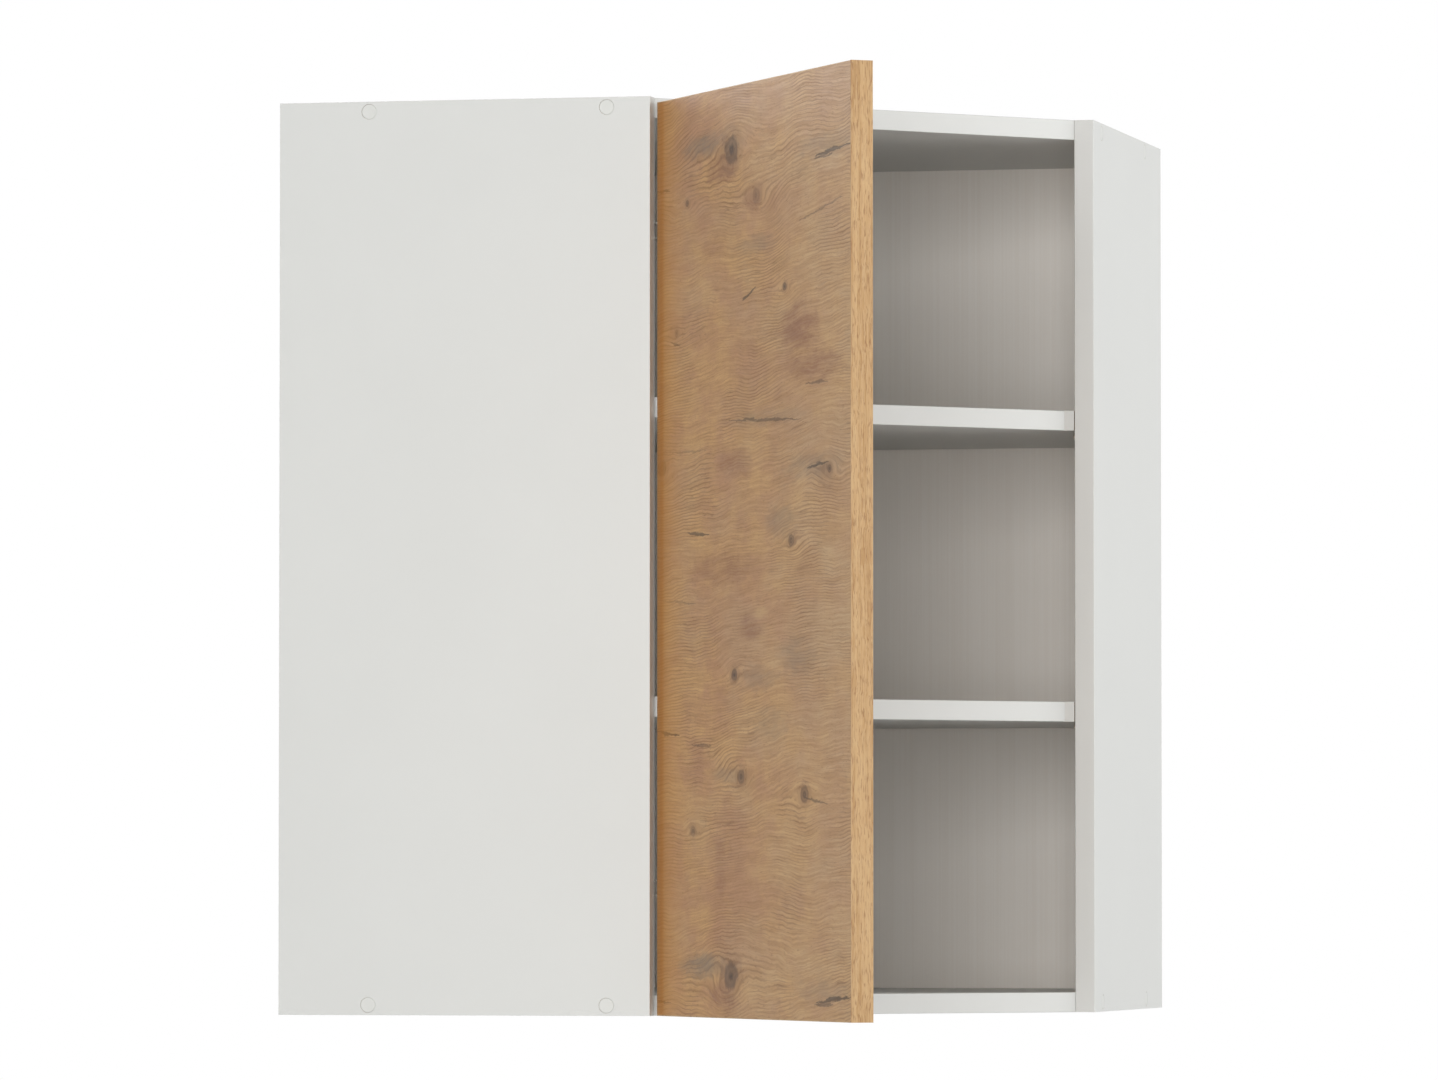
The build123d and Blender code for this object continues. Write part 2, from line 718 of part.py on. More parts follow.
def outer_link(z):
    """Two cheeks over the cup's rim, joined by a barrel on the arm's pin and a web."""
    points = (outer_link_cup_pivot, *outer_link_hook, outer_link_arm_pivot)
    knee, pivot = Vector(*points[-2]), Vector(*points[-1])
    shift = (pivot - knee).normalized().rotate(Axis.Z, 90) * (link_half_width - link_web / 2)
    ends = [knee + (pivot - knee) * share + shift for share in link_web_span]
    with BuildPart() as link:
        for low in (outer_link_inner_half, -outer_link_half):
            with BuildSketch(outer_link_plan.offset(z + low)):
                with BuildLine():
                    link_path(points)
                trace(line_width=2 * link_half_width)
                with Locations(outer_link_cup_pivot):
                    Circle(cup_eye_radius)
                with Locations(outer_link_arm_pivot):
                    Circle(arm_eye_radius)
            extrude(amount=outer_link_half - outer_link_inner_half)
        with BuildSketch(outer_link_plan.offset(z)):
            with BuildLine():
                Line(*ends)
            trace(line_width=link_web)
            with Locations(outer_link_arm_pivot):
                Circle(arm_eye_radius)
        extrude(amount=outer_link_half, both=True)
        with BuildSketch(outer_link_plan.offset(z)):
            with Locations(outer_link_cup_pivot):
                Circle(pin_hole)
            with Locations(outer_link_arm_pivot):
                Circle(arm_pin_hole)
        extrude(amount=outer_link_half, both=True, mode=Mode.SUBTRACT)
    return link


def inner_link(z):
    """One solid link. The cup's pin travels in its slot, which takes up what a rigid eye could not."""
    points = (inner_link_eye_centre, inner_link_bow, inner_link_arm_pivot)
    slot_half = pivot_pin_radius + slot_side_play
    with BuildPart() as link:
        with BuildSketch(inner_link_plan.offset(z)):
            with BuildLine():
                link_path(points)
            trace(line_width=2 * link_half_width)
            with Locations(inner_link_arm_pivot):
                Circle(arm_eye_radius)
            with Locations(inner_link_eye_centre):
                SlotCenterToCenter(slot_travel, 2 * (slot_half + slot_wall), rotation=slot_direction)
        extrude(amount=inner_link_half, both=True)
        with BuildSketch(inner_link_plan.offset(z)):
            with Locations(inner_link_arm_pivot):
                Circle(arm_pin_hole)
            with Locations(inner_link_eye_centre):
                SlotCenterToCenter(slot_travel, 2 * slot_half, rotation=slot_direction)
        extrude(amount=inner_link_half, both=True, mode=Mode.SUBTRACT)
    return link


def hinge_arm(z):
    """A channel along the side panel whose two cheeks reach out to the links' pins."""
    pivots = [in_panel_plan(p) for p in arm_pins_at]
    with BuildPart() as arm:
        with BuildSketch(panel.offset(z)):
            with Locations((arm_low, arm_nose_start)):
                Rectangle(arm_high - arm_low, arm_length - arm_nose_start, align=(Align.MIN, Align.MIN))
        extrude(amount=arm_half, both=True)
        with BuildSketch(panel.offset(z)):
            with Locations((arm_low, arm_nose_start)):
                Rectangle(
                    ridge_top - arm_low, arm_length - arm_nose_start, align=(Align.MIN, Align.MIN)
                )
        extrude(amount=arm_inner_half, both=True, mode=Mode.SUBTRACT)
        for low in (arm_inner_half, -arm_half):
            with BuildSketch(panel.offset(z + low)):
                with Locations(pivots[0]):
                    Circle(arm_outer_boss_radius)
                with Locations(pivots[1]):
                    Circle(arm_boss_radius)
                with Locations((arm_low, arm_nose_start)):
                    Rectangle(arm_high - arm_low, arm_sheet, align=(Align.MIN, Align.MIN))
                make_hull()
            extrude(amount=arm_half - arm_inner_half)
        with BuildSketch(panel.offset(z)):
            with Locations(pivots):
                Circle(arm_pin_hole)
        extrude(amount=arm_half, both=True, mode=Mode.SUBTRACT)
        with BuildSketch(inner_face.offset(arm_high)):
            with Locations([(y - side_depth, z) for y in adjuster_from_front]):
                Circle(adjuster_radius + joint_play)
        extrude(amount=-arm_sheet, mode=Mode.SUBTRACT)
    return arm


def mounting_plate(z):
    """The cross-shaped plate on the side panel, with the ridge that the arm straddles."""
    middle = plate_from_front - side_depth
    with BuildPart() as plate:
        with BuildSketch(inner_face):
            with Locations((middle, z)):
                RectangleRounded(*plate_wing, plate_wing[0] / 2 - joint_play)
                RectangleRounded(*plate_tongue, plate_tongue_round)
        extrude(amount=plate_base)
        with BuildSketch(inner_face):
            with Locations((sum(ridge_ends) / 2 - side_depth, z)):
                Rectangle(ridge_ends[1] - ridge_ends[0], ridge_width)
        extrude(amount=ridge_top)
        with BuildSketch(inner_face):
            with Locations([(middle, z + step * plate_screw_spacing / 2) for step in (-1, 1)]):
                Circle(plate_screw_radius + joint_play)
        extrude(amount=plate_base, mode=Mode.SUBTRACT)
        with BuildSketch(inner_face.offset(ridge_top)):
            with Locations([(y - side_depth, z) for y in adjuster_from_front]):
                Circle(adjuster_radius + joint_play)
        extrude(amount=arm_sheet - adjuster_depth - joint_play, mode=Mode.SUBTRACT)
    return plate


for name, z in hinges.items():
    finish(hinge_cup(z), f"{name}_hinge_cup")
    finish(outer_link(z), f"{name}_outer_link")
    finish(inner_link(z), f"{name}_inner_link")
    finish(hinge_arm(z), f"{name}_hinge_arm")
    finish(mounting_plate(z), f"{name}_mounting_plate")

with BuildPart() as cup_pins:
    # One pin through both bosses, and one stub in each boss for the outer link's cheeks.
    for z in hinges.values():
        with BuildSketch(door_plan.offset(z)):
            with Locations(inner_link_cup_pivot):
                Circle(pivot_pin_radius)
        extrude(amount=cup_pin_half, both=True)
        for low in (outer_link_inner_half - pin_overhang, -cup_pin_half):
            with BuildSketch(door_plan.offset(z + low)):
                with Locations(outer_link_cup_pivot):
                    Circle(pivot_pin_radius)
            extrude(amount=cup_pin_half - outer_link_inner_half + pin_overhang)
finish(cup_pins, "cup_pins")

with BuildPart() as arm_pins:
    for z in hinges.values():
        with BuildSketch(front.offset(z)):
            with Locations(arm_pins_at):
                Circle(arm_pin_radius)
        extrude(amount=arm_half, both=True)
        for low in (arm_half, -arm_half - pin_overhang):
            with BuildSketch(front.offset(z + low)):
                with Locations(arm_pins_at):
                    Circle(arm_pin_head_radius)
            extrude(amount=pin_overhang)
finish(arm_pins, "arm_pins")


def screw_profile_of(radius, length, head_radius, head_height):
    """A pan-head screw: its head stands on the plane, its shaft goes below it."""
    return [
        (0, head_height),
        (screw_crown * head_radius, head_height),
        (head_radius, head_height / 2),
        (head_radius, 0),
        (radius, 0),
        (radius, radius - length),
        (0, -length),
    ]


cup_screw = screw_profile_of(
    cup_screw_radius, cup_screw_length + flange_thickness, cup_screw_head_radius, cup_screw_head
)
with BuildPart() as cup_screws:
    for z in hinges.values():
        ears = door_back_plane(cup_centre + cup_screw_offset, z, flange_thickness)
        add(set_of(cup_screw, ears, cup_screw_points))
finish(cup_screws, "cup_screws")

plate_screw = screw_profile_of(
    plate_screw_radius, plate_screw_length + plate_base, plate_screw_head_radius, adjuster_head
)
adjuster = screw_profile_of(adjuster_radius, adjuster_depth, adjuster_head_radius, adjuster_head)
with BuildPart() as plate_screws:
    add(
        set_of(
            plate_screw,
            inner_face.offset(plate_base),
            grid((plate_from_front - side_depth,), plate_screw_heights),
        )
    )
finish(plate_screws, "plate_screws")

with BuildPart() as adjusting_screws:
    add(
        set_of(
            adjuster,
            inner_face.offset(arm_high),
            grid([y - side_depth for y in adjuster_from_front], hinges.values()),
        )
    )
finish(adjusting_screws, "hinge_adjusting_screws")

# ================================================================ wall hangers
hanger_room = hanger_size[1] - hanger_wall  # inside depth, off the side panel
hanger_line = -inner + hanger_room / 2  # y of the hook and of both adjusting screws
hanger_middle_z = (hanger_low + hanger_top) / 2
slider_low = hanger_middle_z - slider_height / 2
slider_x = back_face + slider_from_back + slider_length / 2
arm_low_z = hanger_middle_z - hook_arm_height / 2
window_half = hook_arm_height / 2 + hook_lift + adjuster_cap[0] / 2
hook_plane = inner_face.offset(hanger_room / 2)
slider_end = -(slider_x + slider_length / 2)
slider_bore = slider_height / 2 - hook_arm_height / 2 - guide_rib  # depth of the height screw's bore

with BuildPart() as left_housing:
    with BuildSketch(inner_face):
        with Locations((-(back_face + hanger_front) / 2, hanger_middle_z)):
            RectangleRounded(hanger_size[0], hanger_size[2], hanger_round)
    extrude(amount=hanger_size[1])
    with BuildSketch(inner_face):
        # Open at the rear, where the hook comes out.
        with Locations((hanger_wall - hanger_front, hanger_middle_z)):
            Rectangle(
                hanger_size[0],
                hanger_size[2] - 2 * hanger_wall,
                align=(Align.MIN, Align.CENTER),
            )
    extrude(amount=hanger_room, mode=Mode.SUBTRACT)
    # Ribs beside the slider, away from the hook's way through.
    for step in (-1, 1):
        rib_x = -slider_x + step * (slider_length / 2 + slider_fit + guide_rib / 2)
        with BuildSketch(inner_face):
            with Locations((rib_x, hanger_middle_z)):
                Rectangle(guide_rib, hanger_size[2] - hanger_wall)
                Rectangle(guide_rib, 2 * window_half, mode=Mode.SUBTRACT)
        extrude(amount=hanger_room)
    with BuildSketch(inner_face):
        with Locations(hanger_screw_points):
            Circle(hanger_boss_radius)
    extrude(amount=hanger_room)
    with BuildSketch(inner_face):
        with Locations(hanger_screw_points):
            Circle(hanger_screw_radius + joint_play)
    extrude(amount=hanger_size[1], mode=Mode.SUBTRACT)
    # The way to the depth screw, and the height screw's seat in the floor.
    with BuildSketch(Plane(origin=(hanger_front, hanger_line, hanger_middle_z), z_dir=(1, 0, 0))):
        SlotOverall(2 * (adjuster_cap[0] + hook_lift), 2 * adjuster_cap[0], rotation=90)
    extrude(amount=-hanger_wall, mode=Mode.SUBTRACT)
    with BuildSketch(Plane(origin=(slider_x, hanger_line, hanger_low))):
        Circle(adjuster_shaft_radius + joint_play)
    extrude(amount=hanger_wall, mode=Mode.SUBTRACT)
finish(left_housing, "left_hanger_housing")

with BuildPart() as left_slider:
    with Locations((slider_x, hanger_line, hanger_middle_z)):
        Box(slider_length, hanger_room - 2 * slider_fit, slider_height)
        Box(
            slider_length,
            hook_sheet + 2 * slider_fit,
            hook_arm_height + 2 * slider_fit,
            mode=Mode.SUBTRACT,
        )
    with BuildSketch(Plane(origin=(slider_x, hanger_line, slider_low))):
        Circle(adjuster_shaft_radius + joint_play)
    extrude(amount=slider_bore, mode=Mode.SUBTRACT)
    with BuildSketch(Plane(origin=(slider_x, hanger_line, hanger_middle_z), z_dir=(1, 0, 0))):
        Circle(adjuster_shaft_radius + joint_play)
    extrude(amount=slider_length / 2, both=True, mode=Mode.SUBTRACT)
finish(left_slider, "left_hanger_slider")

with BuildPart() as left_hook:
    hook_rear = -hook_lip[0]
    lip_front = hook_rear - hook_lip[1]
    throat_front = lip_front - hook_throat
    arm_top_z = arm_low_z + hook_arm_height
    arm_end = slider_end + hook_pull + joint_play
    fork_root = slider_end + depth_screw_length + hook_pull + joint_play
    with BuildSketch(hook_plane):
        with BuildLine():
            Polyline(
                (arm_end, arm_top_z),
                (hook_rear, arm_top_z),
                (hook_rear, arm_low_z - hook_drop),
                (lip_front, arm_low_z - hook_drop),
                (lip_front, arm_low_z + hook_throat_height),
                (throat_front, arm_low_z + hook_throat_height),
                (throat_front, arm_low_z),
                (arm_end, arm_low_z),
                close=True,
            )
        make_face()
        # A fork whose two prongs lie along the depth screw.
        with Locations((fork_root, hanger_middle_z)):
            Rectangle(
                fork_root - arm_end,
                2 * (adjuster_shaft_radius + slider_fit),
                align=(Align.MAX, Align.CENTER),
                mode=Mode.SUBTRACT,
            )
    extrude(amount=hook_sheet / 2, both=True)
finish(left_hook, "left_hanger_hook")

height_screw_length = slider_low - hanger_low + slider_bore - hook_lift - height_screw_play
under_floor = Plane(origin=(slider_x, hanger_line, hanger_low), z_dir=(0, 0, -1))
height_screw_profile = screw_profile_of(adjuster_shaft_radius, height_screw_length, *adjuster_cap)
with BuildPart() as left_height_screw:
    add(set_of(height_screw_profile, under_floor, [(0, 0)]))
height_screws = both_sides(left_height_screw.part)
finish(height_screws, "hanger_height_screws")

depth_screw_profile = screw_profile_of(adjuster_shaft_radius, depth_screw_length, *adjuster_cap)
slider_face = Plane(
    origin=(slider_x + slider_length / 2, hanger_line, hanger_middle_z), z_dir=(1, 0, 0)
)
with BuildPart() as left_depth_screw:
    add(set_of(depth_screw_profile, slider_face, [(0, 0)]))
finish(left_depth_screw, "left_hanger_depth_screw")

hanger_screw_profile = screw_profile_of(
    hanger_screw_radius, hanger_size[1] + hanger_screw_length, *hanger_screw_head
)
left_hanger_screws = set_of(hanger_screw_profile, inner_face.offset(hanger_size[1]), hanger_screw_points)
hanger_screws = both_sides(left_hanger_screws)
finish(hanger_screws, "hanger_screws")

# The right hanger is the left one's mirror image.
left_hanger = {
    "hanger_housing": left_housing,
    "hanger_slider": left_slider,
    "hanger_hook": left_hook,
    "hanger_depth_screw": left_depth_screw,
}
for name, left_piece in left_hanger.items():
    with BuildPart() as right_piece:
        mirror(left_piece.part, about=corner_mirror)
    finish(right_piece, f"right_{name}")
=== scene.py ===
# %% [markdown]
# # Corner wall cabinet
#
# A white corner cabinet hangs on two walls. Five-sided boards stand between two narrow side panels, and
# an oak-decor door stands open on its concealed corner hinges. The solids come as a fixed frame: every
# board, band, hinge link and screw is already in its place. This lesson gives them their surfaces, swaps
# the plain fasteners for detailed ones, and lights the whole as in a product photograph.

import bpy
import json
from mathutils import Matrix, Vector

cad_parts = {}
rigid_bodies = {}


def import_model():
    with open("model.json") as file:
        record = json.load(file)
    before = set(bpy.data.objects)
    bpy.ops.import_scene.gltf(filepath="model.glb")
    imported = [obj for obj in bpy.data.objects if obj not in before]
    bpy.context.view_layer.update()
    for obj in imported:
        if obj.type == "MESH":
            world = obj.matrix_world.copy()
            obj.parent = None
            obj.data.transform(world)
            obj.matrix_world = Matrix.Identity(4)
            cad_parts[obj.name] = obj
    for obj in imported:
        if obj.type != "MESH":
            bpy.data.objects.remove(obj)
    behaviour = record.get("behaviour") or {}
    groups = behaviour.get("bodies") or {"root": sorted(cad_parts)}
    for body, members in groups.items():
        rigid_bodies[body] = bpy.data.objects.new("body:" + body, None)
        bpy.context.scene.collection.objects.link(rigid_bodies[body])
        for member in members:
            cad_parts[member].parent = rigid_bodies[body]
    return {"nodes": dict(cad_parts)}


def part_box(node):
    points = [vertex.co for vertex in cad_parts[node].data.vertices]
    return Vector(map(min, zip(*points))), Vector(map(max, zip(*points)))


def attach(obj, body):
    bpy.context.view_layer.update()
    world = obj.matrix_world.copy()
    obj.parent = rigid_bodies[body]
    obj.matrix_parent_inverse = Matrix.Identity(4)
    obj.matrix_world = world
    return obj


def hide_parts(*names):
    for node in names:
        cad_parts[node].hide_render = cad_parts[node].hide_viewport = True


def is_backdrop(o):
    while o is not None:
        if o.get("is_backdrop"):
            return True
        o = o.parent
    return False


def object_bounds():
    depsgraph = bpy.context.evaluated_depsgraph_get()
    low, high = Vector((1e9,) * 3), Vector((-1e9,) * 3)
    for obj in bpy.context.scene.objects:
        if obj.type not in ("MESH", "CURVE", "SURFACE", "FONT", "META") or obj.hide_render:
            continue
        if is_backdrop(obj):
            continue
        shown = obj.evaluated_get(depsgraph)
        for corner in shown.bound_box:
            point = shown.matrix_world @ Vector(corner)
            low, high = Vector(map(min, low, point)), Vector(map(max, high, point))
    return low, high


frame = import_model()
cad_low, cad_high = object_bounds()

# %% [markdown]
# ## Writing node trees as sums
#
# A material is a formula, so it reads best as one. `Wire` wraps an output socket and turns +, -, *, / and
# ** into Math nodes, also when the number stands on the left. Its method `maths` makes the other Math
# nodes, such as a sine. All of them come from one method, `Graph.node`, and so does every other node.

# %% Sockets that can be added and multiplied
import json
from math import cos, pi, radians, sin

import bmesh
import bpy
from mathutils import Matrix, Vector


class Wire:
    """An output socket of a node, for use in expressions on values."""

    def __init__(self, graph, socket):
        self.graph = graph
        self.socket = socket

    def maths(self, operation, *others):
        """A Math node whose first value is this one."""
        inputs = dict(enumerate((self, *others)))
        return self.graph.node("ShaderNodeMath", {"operation": operation}, inputs)

    def __add__(self, other):
        return self.maths("ADD", other)

    def __sub__(self, other):
        return self.maths("SUBTRACT", other)

    def __rsub__(self, other):
        return self.graph.node("ShaderNodeMath", {"operation": "SUBTRACT"}, {0: other, 1: self})

    def __mul__(self, other):
        return self.maths("MULTIPLY", other)

    def __truediv__(self, other):
        return self.maths("DIVIDE", other)

    def __pow__(self, other):
        return self.maths("POWER", other)

    __radd__ = __add__
    __rmul__ = __mul__


class Graph:
    """A shader or geometry node tree."""

    def __init__(self, tree):
        self.tree = tree

    def node(self, kind, settings=None, inputs=None, out=0):
        """Adds a node: its settings first, then values or links for its sockets. Returns one output.

        A socket that takes several links is given a list of them.
        """
        node = self.tree.nodes.new(kind)
        for key, value in (settings or {}).items():
            setattr(node, key, value)
        for key, value in (inputs or {}).items():
            for item in value if isinstance(value, list) else [value]:
                if isinstance(item, Wire):
                    self.tree.links.new(item.socket, node.inputs[key])
                else:
                    node.inputs[key].default_value = item
        return Wire(self, node.outputs[out]) if node.outputs else node

    def split(self, vector):
        """The three parts of a vector."""
        x = self.node("ShaderNodeSeparateXYZ", inputs={0: vector})
        return [Wire(self, output) for output in x.socket.node.outputs]

    def join(self, x, y, z):
        """A vector of three parts."""
        return self.node("ShaderNodeCombineXYZ", inputs={0: x, 1: y, 2: z})

    def add(self, first, second):
        """The sum of two vectors."""
        return self.node("ShaderNodeVectorMath", {"operation": "ADD"}, {0: first, 1: second})


print("helpers: Wire and Graph")

# %% [markdown]
# ## A small kit for surfaces
#
# All the finishes share a few moves: stretched noise, a soft threshold, a mix of two colours, and a bump.
# Patterns read object coordinates in metres, so a scale of 1000 makes features about a millimetre wide.
# Colours are written as they look on screen and turned into light by `tint`.

# %% Finish: a material with its moves
def tint(red, green, blue):
    """A colour given as 0 to 255 on screen, as linear light."""
    def linear(value):
        value = value / 255
        return value / 12.92 if value <= 0.04045 else ((value + 0.055) / 1.055) ** 2.4
    return (linear(red), linear(green), linear(blue), 1.0)


class Finish(Graph):
    """A material. `place` holds the object coordinates of the shaded point."""

    def __init__(self, name):
        self.material = bpy.data.materials.new(name)
        self.material.use_nodes = True
        self.material.node_tree.nodes.clear()
        super().__init__(self.material.node_tree)
        self.place = self.node("ShaderNodeTexCoord", out="Object")

    def stretched(self, vector, scales, offset=(0, 0, 0)):
        """The coordinates times a scale for each axis: a large scale makes fine detail along it."""
        return self.node("ShaderNodeMapping", inputs={0: vector, "Location": offset, "Scale": scales})

    def noise(self, vector, detail=2.0, roughness=0.5, distortion=0.0, scale=1.0):
        inputs = {
            "Vector": vector,
            "Scale": scale,
            "Detail": detail,
            "Roughness": roughness,
            "Distortion": distortion,
        }
        return self.node("ShaderNodeTexNoise", inputs=inputs)

    def between(self, value, low, high):
        """0 below low, 1 above high, and a smooth step between them."""
        settings = {"interpolation_type": "SMOOTHSTEP"}
        inputs = {"Value": value, "From Min": low, "From Max": high}
        return self.node("ShaderNodeMapRange", settings, inputs)

    def blend(self, factor, first, second):
        """A mix of two colours: the first at factor 0, the second at 1."""
        return self.node("ShaderNodeMix", {"data_type": "RGBA"}, {0: factor, 6: first, 7: second}, out=2)

    def bump(self, height, depth):
        """Relief: a height from 0 to 1 that stands up to depth metres."""
        return self.node("ShaderNodeBump", inputs={"Height": height, "Distance": depth})

    def surface(self, **sockets):
        """Ends the material in a Principled shader. Socket names are written with underscores."""
        inputs = {key.replace("_", " "): value for key, value in sockets.items()}
        shader = self.node("ShaderNodeBsdfPrincipled", inputs=inputs)
        self.node("ShaderNodeOutputMaterial", inputs={"Surface": shader})
        return self.material


def dress(node, material):
    """Gives a solid of the frame its finish."""
    materials = frame["nodes"][node].data.materials
    materials.clear()
    materials.append(material)


def new_object(name, data):
    """An object in the scene that shows the data."""
    made = bpy.data.objects.new(name, data)
    bpy.context.scene.collection.objects.link(made)
    return made


print("helpers: Finish, dress and new_object")

# %% [markdown]
# ## White melamine boards
#
# The carcass is chipboard with a thin white skin on both faces. The faces are pearl-textured and slightly
# uneven in gloss. Wherever a board is cut, at its rear edges, in its grooves and in its drilled holes, the
# chips of the core show: flat coarse flakes in the middle, and fines towards both faces. A Voronoi pattern
# gives each flake its own tone. It is squeezed across the board, so that the flakes lie flat, and noise
# bends their edges. It fills the board's whole volume, so every cut shows it without being named.

# %% Chipboard core
flake_scale = 480  # flakes about two millimetres long
flake_flatness = 2.1  # and half as thick
flake_bend = 0.0012  # slow noise moves their edges by up to this much
flake_tones = tint(146, 114, 80), tint(206, 175, 132)
dust_tone = tint(112, 84, 58)
fines_tones = tint(192, 161, 120), tint(156, 124, 88)
fines_start, fines_full = 0.55, 0.85  # shares of the way from the middle to the skin
fines_cover = 0.85


def chipboard(finish, axis, from_middle, core_half):
    """The colour and the height of chips that lie flat, square to axis."""
    scales = [flake_scale] * 3
    scales[axis] = flake_scale * flake_flatness
    bend = finish.noise(finish.place, scale=260, detail=2) * flake_bend
    flakes = finish.stretched(finish.add(finish.place, finish.join(bend, bend, bend)), tuple(scales))
    chips = finish.node("ShaderNodeTexVoronoi", inputs={"Vector": flakes, "Scale": 1.0}, out="Color")
    chip = finish.split(chips)[0]
    dust = finish.noise(finish.place, scale=2600, detail=4, roughness=0.7)
    tone = finish.blend(chip, *flake_tones)
    tone = finish.blend(finish.between(dust, 0.45, 0.75), tone, dust_tone)
    fines = finish.blend(finish.between(dust, 0.38, 0.62), *fines_tones)
    outwards = finish.between(from_middle, core_half * fines_start, core_half * fines_full)
    tone = finish.blend(outwards * fines_cover, tone, fines)
    return tone, chip * 0.5 + dust * 0.5


print("chipboard: flakes", round(1000 / flake_scale, 1), "mm long")

# %% [markdown]
# ## The skin over the core
#
# Paper that is soaked in resin is pressed on both faces. It could be a thin mesh on each side, but a
# quarter of a millimetre isn't worth the faces. So one material turns from white to chips with depth.

# %% White skin on both faces
skin = 0.00025  # thickness of the decor paper and its resin
skin_border = skin / 5  # the white gives way to the core over this distance
white_tones = tint(202, 203, 200), tint(206, 207, 204)
cut_relief = 0.0006  # height of the chips where a board is cut
pearl_share = 0.03  # height of the skin's pearl texture, as a share of that


def melamine(name, node, axis):
    """White-faced chipboard for one board whose thickness lies along axis 0, 1 or 2."""
    low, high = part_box(node)
    middle = (low[axis] + high[axis]) / 2
    core_half = (high[axis] - low[axis]) / 2 - skin
    finish = Finish(name)
    from_middle = (finish.split(finish.place)[axis] - middle).maths("ABSOLUTE")
    core = 1 - finish.between(from_middle, core_half, core_half + skin_border)
    pearl = finish.noise(finish.place, scale=1300, detail=3)
    cloud = finish.noise(finish.place, scale=9, detail=2)
    raw, chip_height = chipboard(finish, axis, from_middle, core_half)
    height = pearl * (1 - core) * pearl_share + core * chip_height
    return finish.surface(
        Base_Color=finish.blend(core, finish.blend(cloud, *white_tones), raw),
        Roughness=0.36 + 0.1 * pearl + 0.04 * cloud + core * 0.45,
        Normal=finish.bump(height, cut_relief),
    )


board_axes = {
    "left_side": 1,
    "right_side": 0,
    "bottom_panel": 2,
    "top_panel": 2,
    "lower_shelf": 2,
    "upper_shelf": 2,
}
for node, axis in board_axes.items():
    dress(node, melamine(node + "_melamine", node, axis))
print("boards:", ", ".join(board_axes))

# %% [markdown]
# ## Edge bands
#
# The band on a board's front edge is a strip of white plastic. It is a little smoother than the board, and
# the trimming cutter leaves faint chatter marks on it, closer together than the eye can count. They are
# noise that is finer upwards than sideways, because they are too shallow for modelling.

# %% White edge band
band_tones = tint(199, 200, 197), tint(203, 204, 201)
chatter_depth = 0.00002


def white_band():
    finish = Finish("white_edge_band")
    chatter = finish.noise(finish.stretched(finish.place, (160, 160, 900)), detail=1)
    cloud = finish.noise(finish.place, scale=14)
    return finish.surface(
        Base_Color=finish.blend(cloud, *band_tones),
        Roughness=0.3 + 0.1 * chatter,
        Normal=finish.bump(chatter, chatter_depth),
    )


band_finish = white_band()
for node in ("side_front_bands", "side_lower_bands", "top_and_bottom_bands", "shelf_bands"):
    dress(node, band_finish)
print("edge bands share", band_finish.name)

# %% [markdown]
# ## Backs
#
# Each back is a thin fibreboard. The side that faces into the cabinet is printed in a pale warm grey with
# fine upright streaks, and the side that faces the wall is bare brown fibre. The material tells them apart
# by depth, halfway through the board.

# %% Fibreboard backs
print_tones = tint(246, 241, 234), tint(250, 246, 240)
fibre_tones = tint(112, 78, 50), tint(166, 124, 86)
blotch_tone = tint(134, 96, 64)
print_border = 0.0003  # the print gives way to bare fibre over this distance
fibre_relief = 0.0002


def fibreboard(name, node, axis, into):
    """A back whose printed face looks along axis, towards plus or minus as into says."""
    low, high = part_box(node)
    middle = (low[axis] + high[axis]) / 2
    finish = Finish(name)
    printed = finish.between((finish.split(finish.place)[axis] - middle) * into, 0.0, print_border)
    # The print: fine and broad streaks together.
    fine = finish.noise(finish.stretched(finish.place, (520, 520, 2.2)), detail=3, roughness=0.65)
    broad = finish.noise(finish.stretched(finish.place, (34, 34, 1.2)), detail=2)
    streak = finish.between(fine * 0.75 + broad * 0.25, 0.34, 0.66)
    # The bare side: felted fibres with darker blotches.
    fibres = finish.noise(finish.place, scale=420, detail=5, roughness=0.7, distortion=1.2)
    blotch = finish.noise(finish.place, scale=22, detail=3)
    fibre_tone = finish.blend(blotch * 0.35, finish.blend(fibres, *fibre_tones), blotch_tone)
    return finish.surface(
        Base_Color=finish.blend(printed, fibre_tone, finish.blend(streak, *print_tones)),
        Roughness=0.78 - printed * (0.26 + 0.1 * streak),
        Normal=finish.bump(streak * printed * 0.1 + fibres * (1 - printed), fibre_relief),
    )


dress("left_back", fibreboard("left_back_board", "left_back", 0, 1))
dress("right_back", fibreboard("right_back_board", "right_back", 1, -1))
print("backs: printed face inside, bare fibre outside")

# %% [markdown]
# ## The door's own directions
#
# The door stands open, so its grain follows neither X nor Y. One Mapping node turns the object coordinates
# until x runs along the door from the hinges, y through its thickness and z up. The direction comes from
# the angle that the door stands at, and the start from the door's own corner.

# %% Directions of the open door
closed_heading = radians(45)  # the closed door lies across the corner
door_opening = radians(100.2)
heading = closed_heading - door_opening
along_door = Vector((cos(heading), sin(heading), 0))
through_door = Vector((-sin(heading), cos(heading), 0))
door_points = [v.co for v in frame["nodes"]["door_end_bands"].data.vertices]
door_start = min(p.dot(along_door) for p in door_points)
door_face = min(p.dot(through_door) for p in door_points)
door_width = max(p.dot(along_door) for p in door_points) - door_start
door_thickness = max(p.dot(through_door) for p in door_points) - door_face
print(f"door: {door_width:.4f} wide, {door_thickness:.4f} thick")


def door_place(finish):
    """Object coordinates turned into the door's: along it, through it, and up."""
    inputs = {0: finish.place, "Location": (-door_start, -door_face, 0), "Rotation": (0, 0, -heading)}
    return finish.node("ShaderNodeMapping", inputs=inputs)


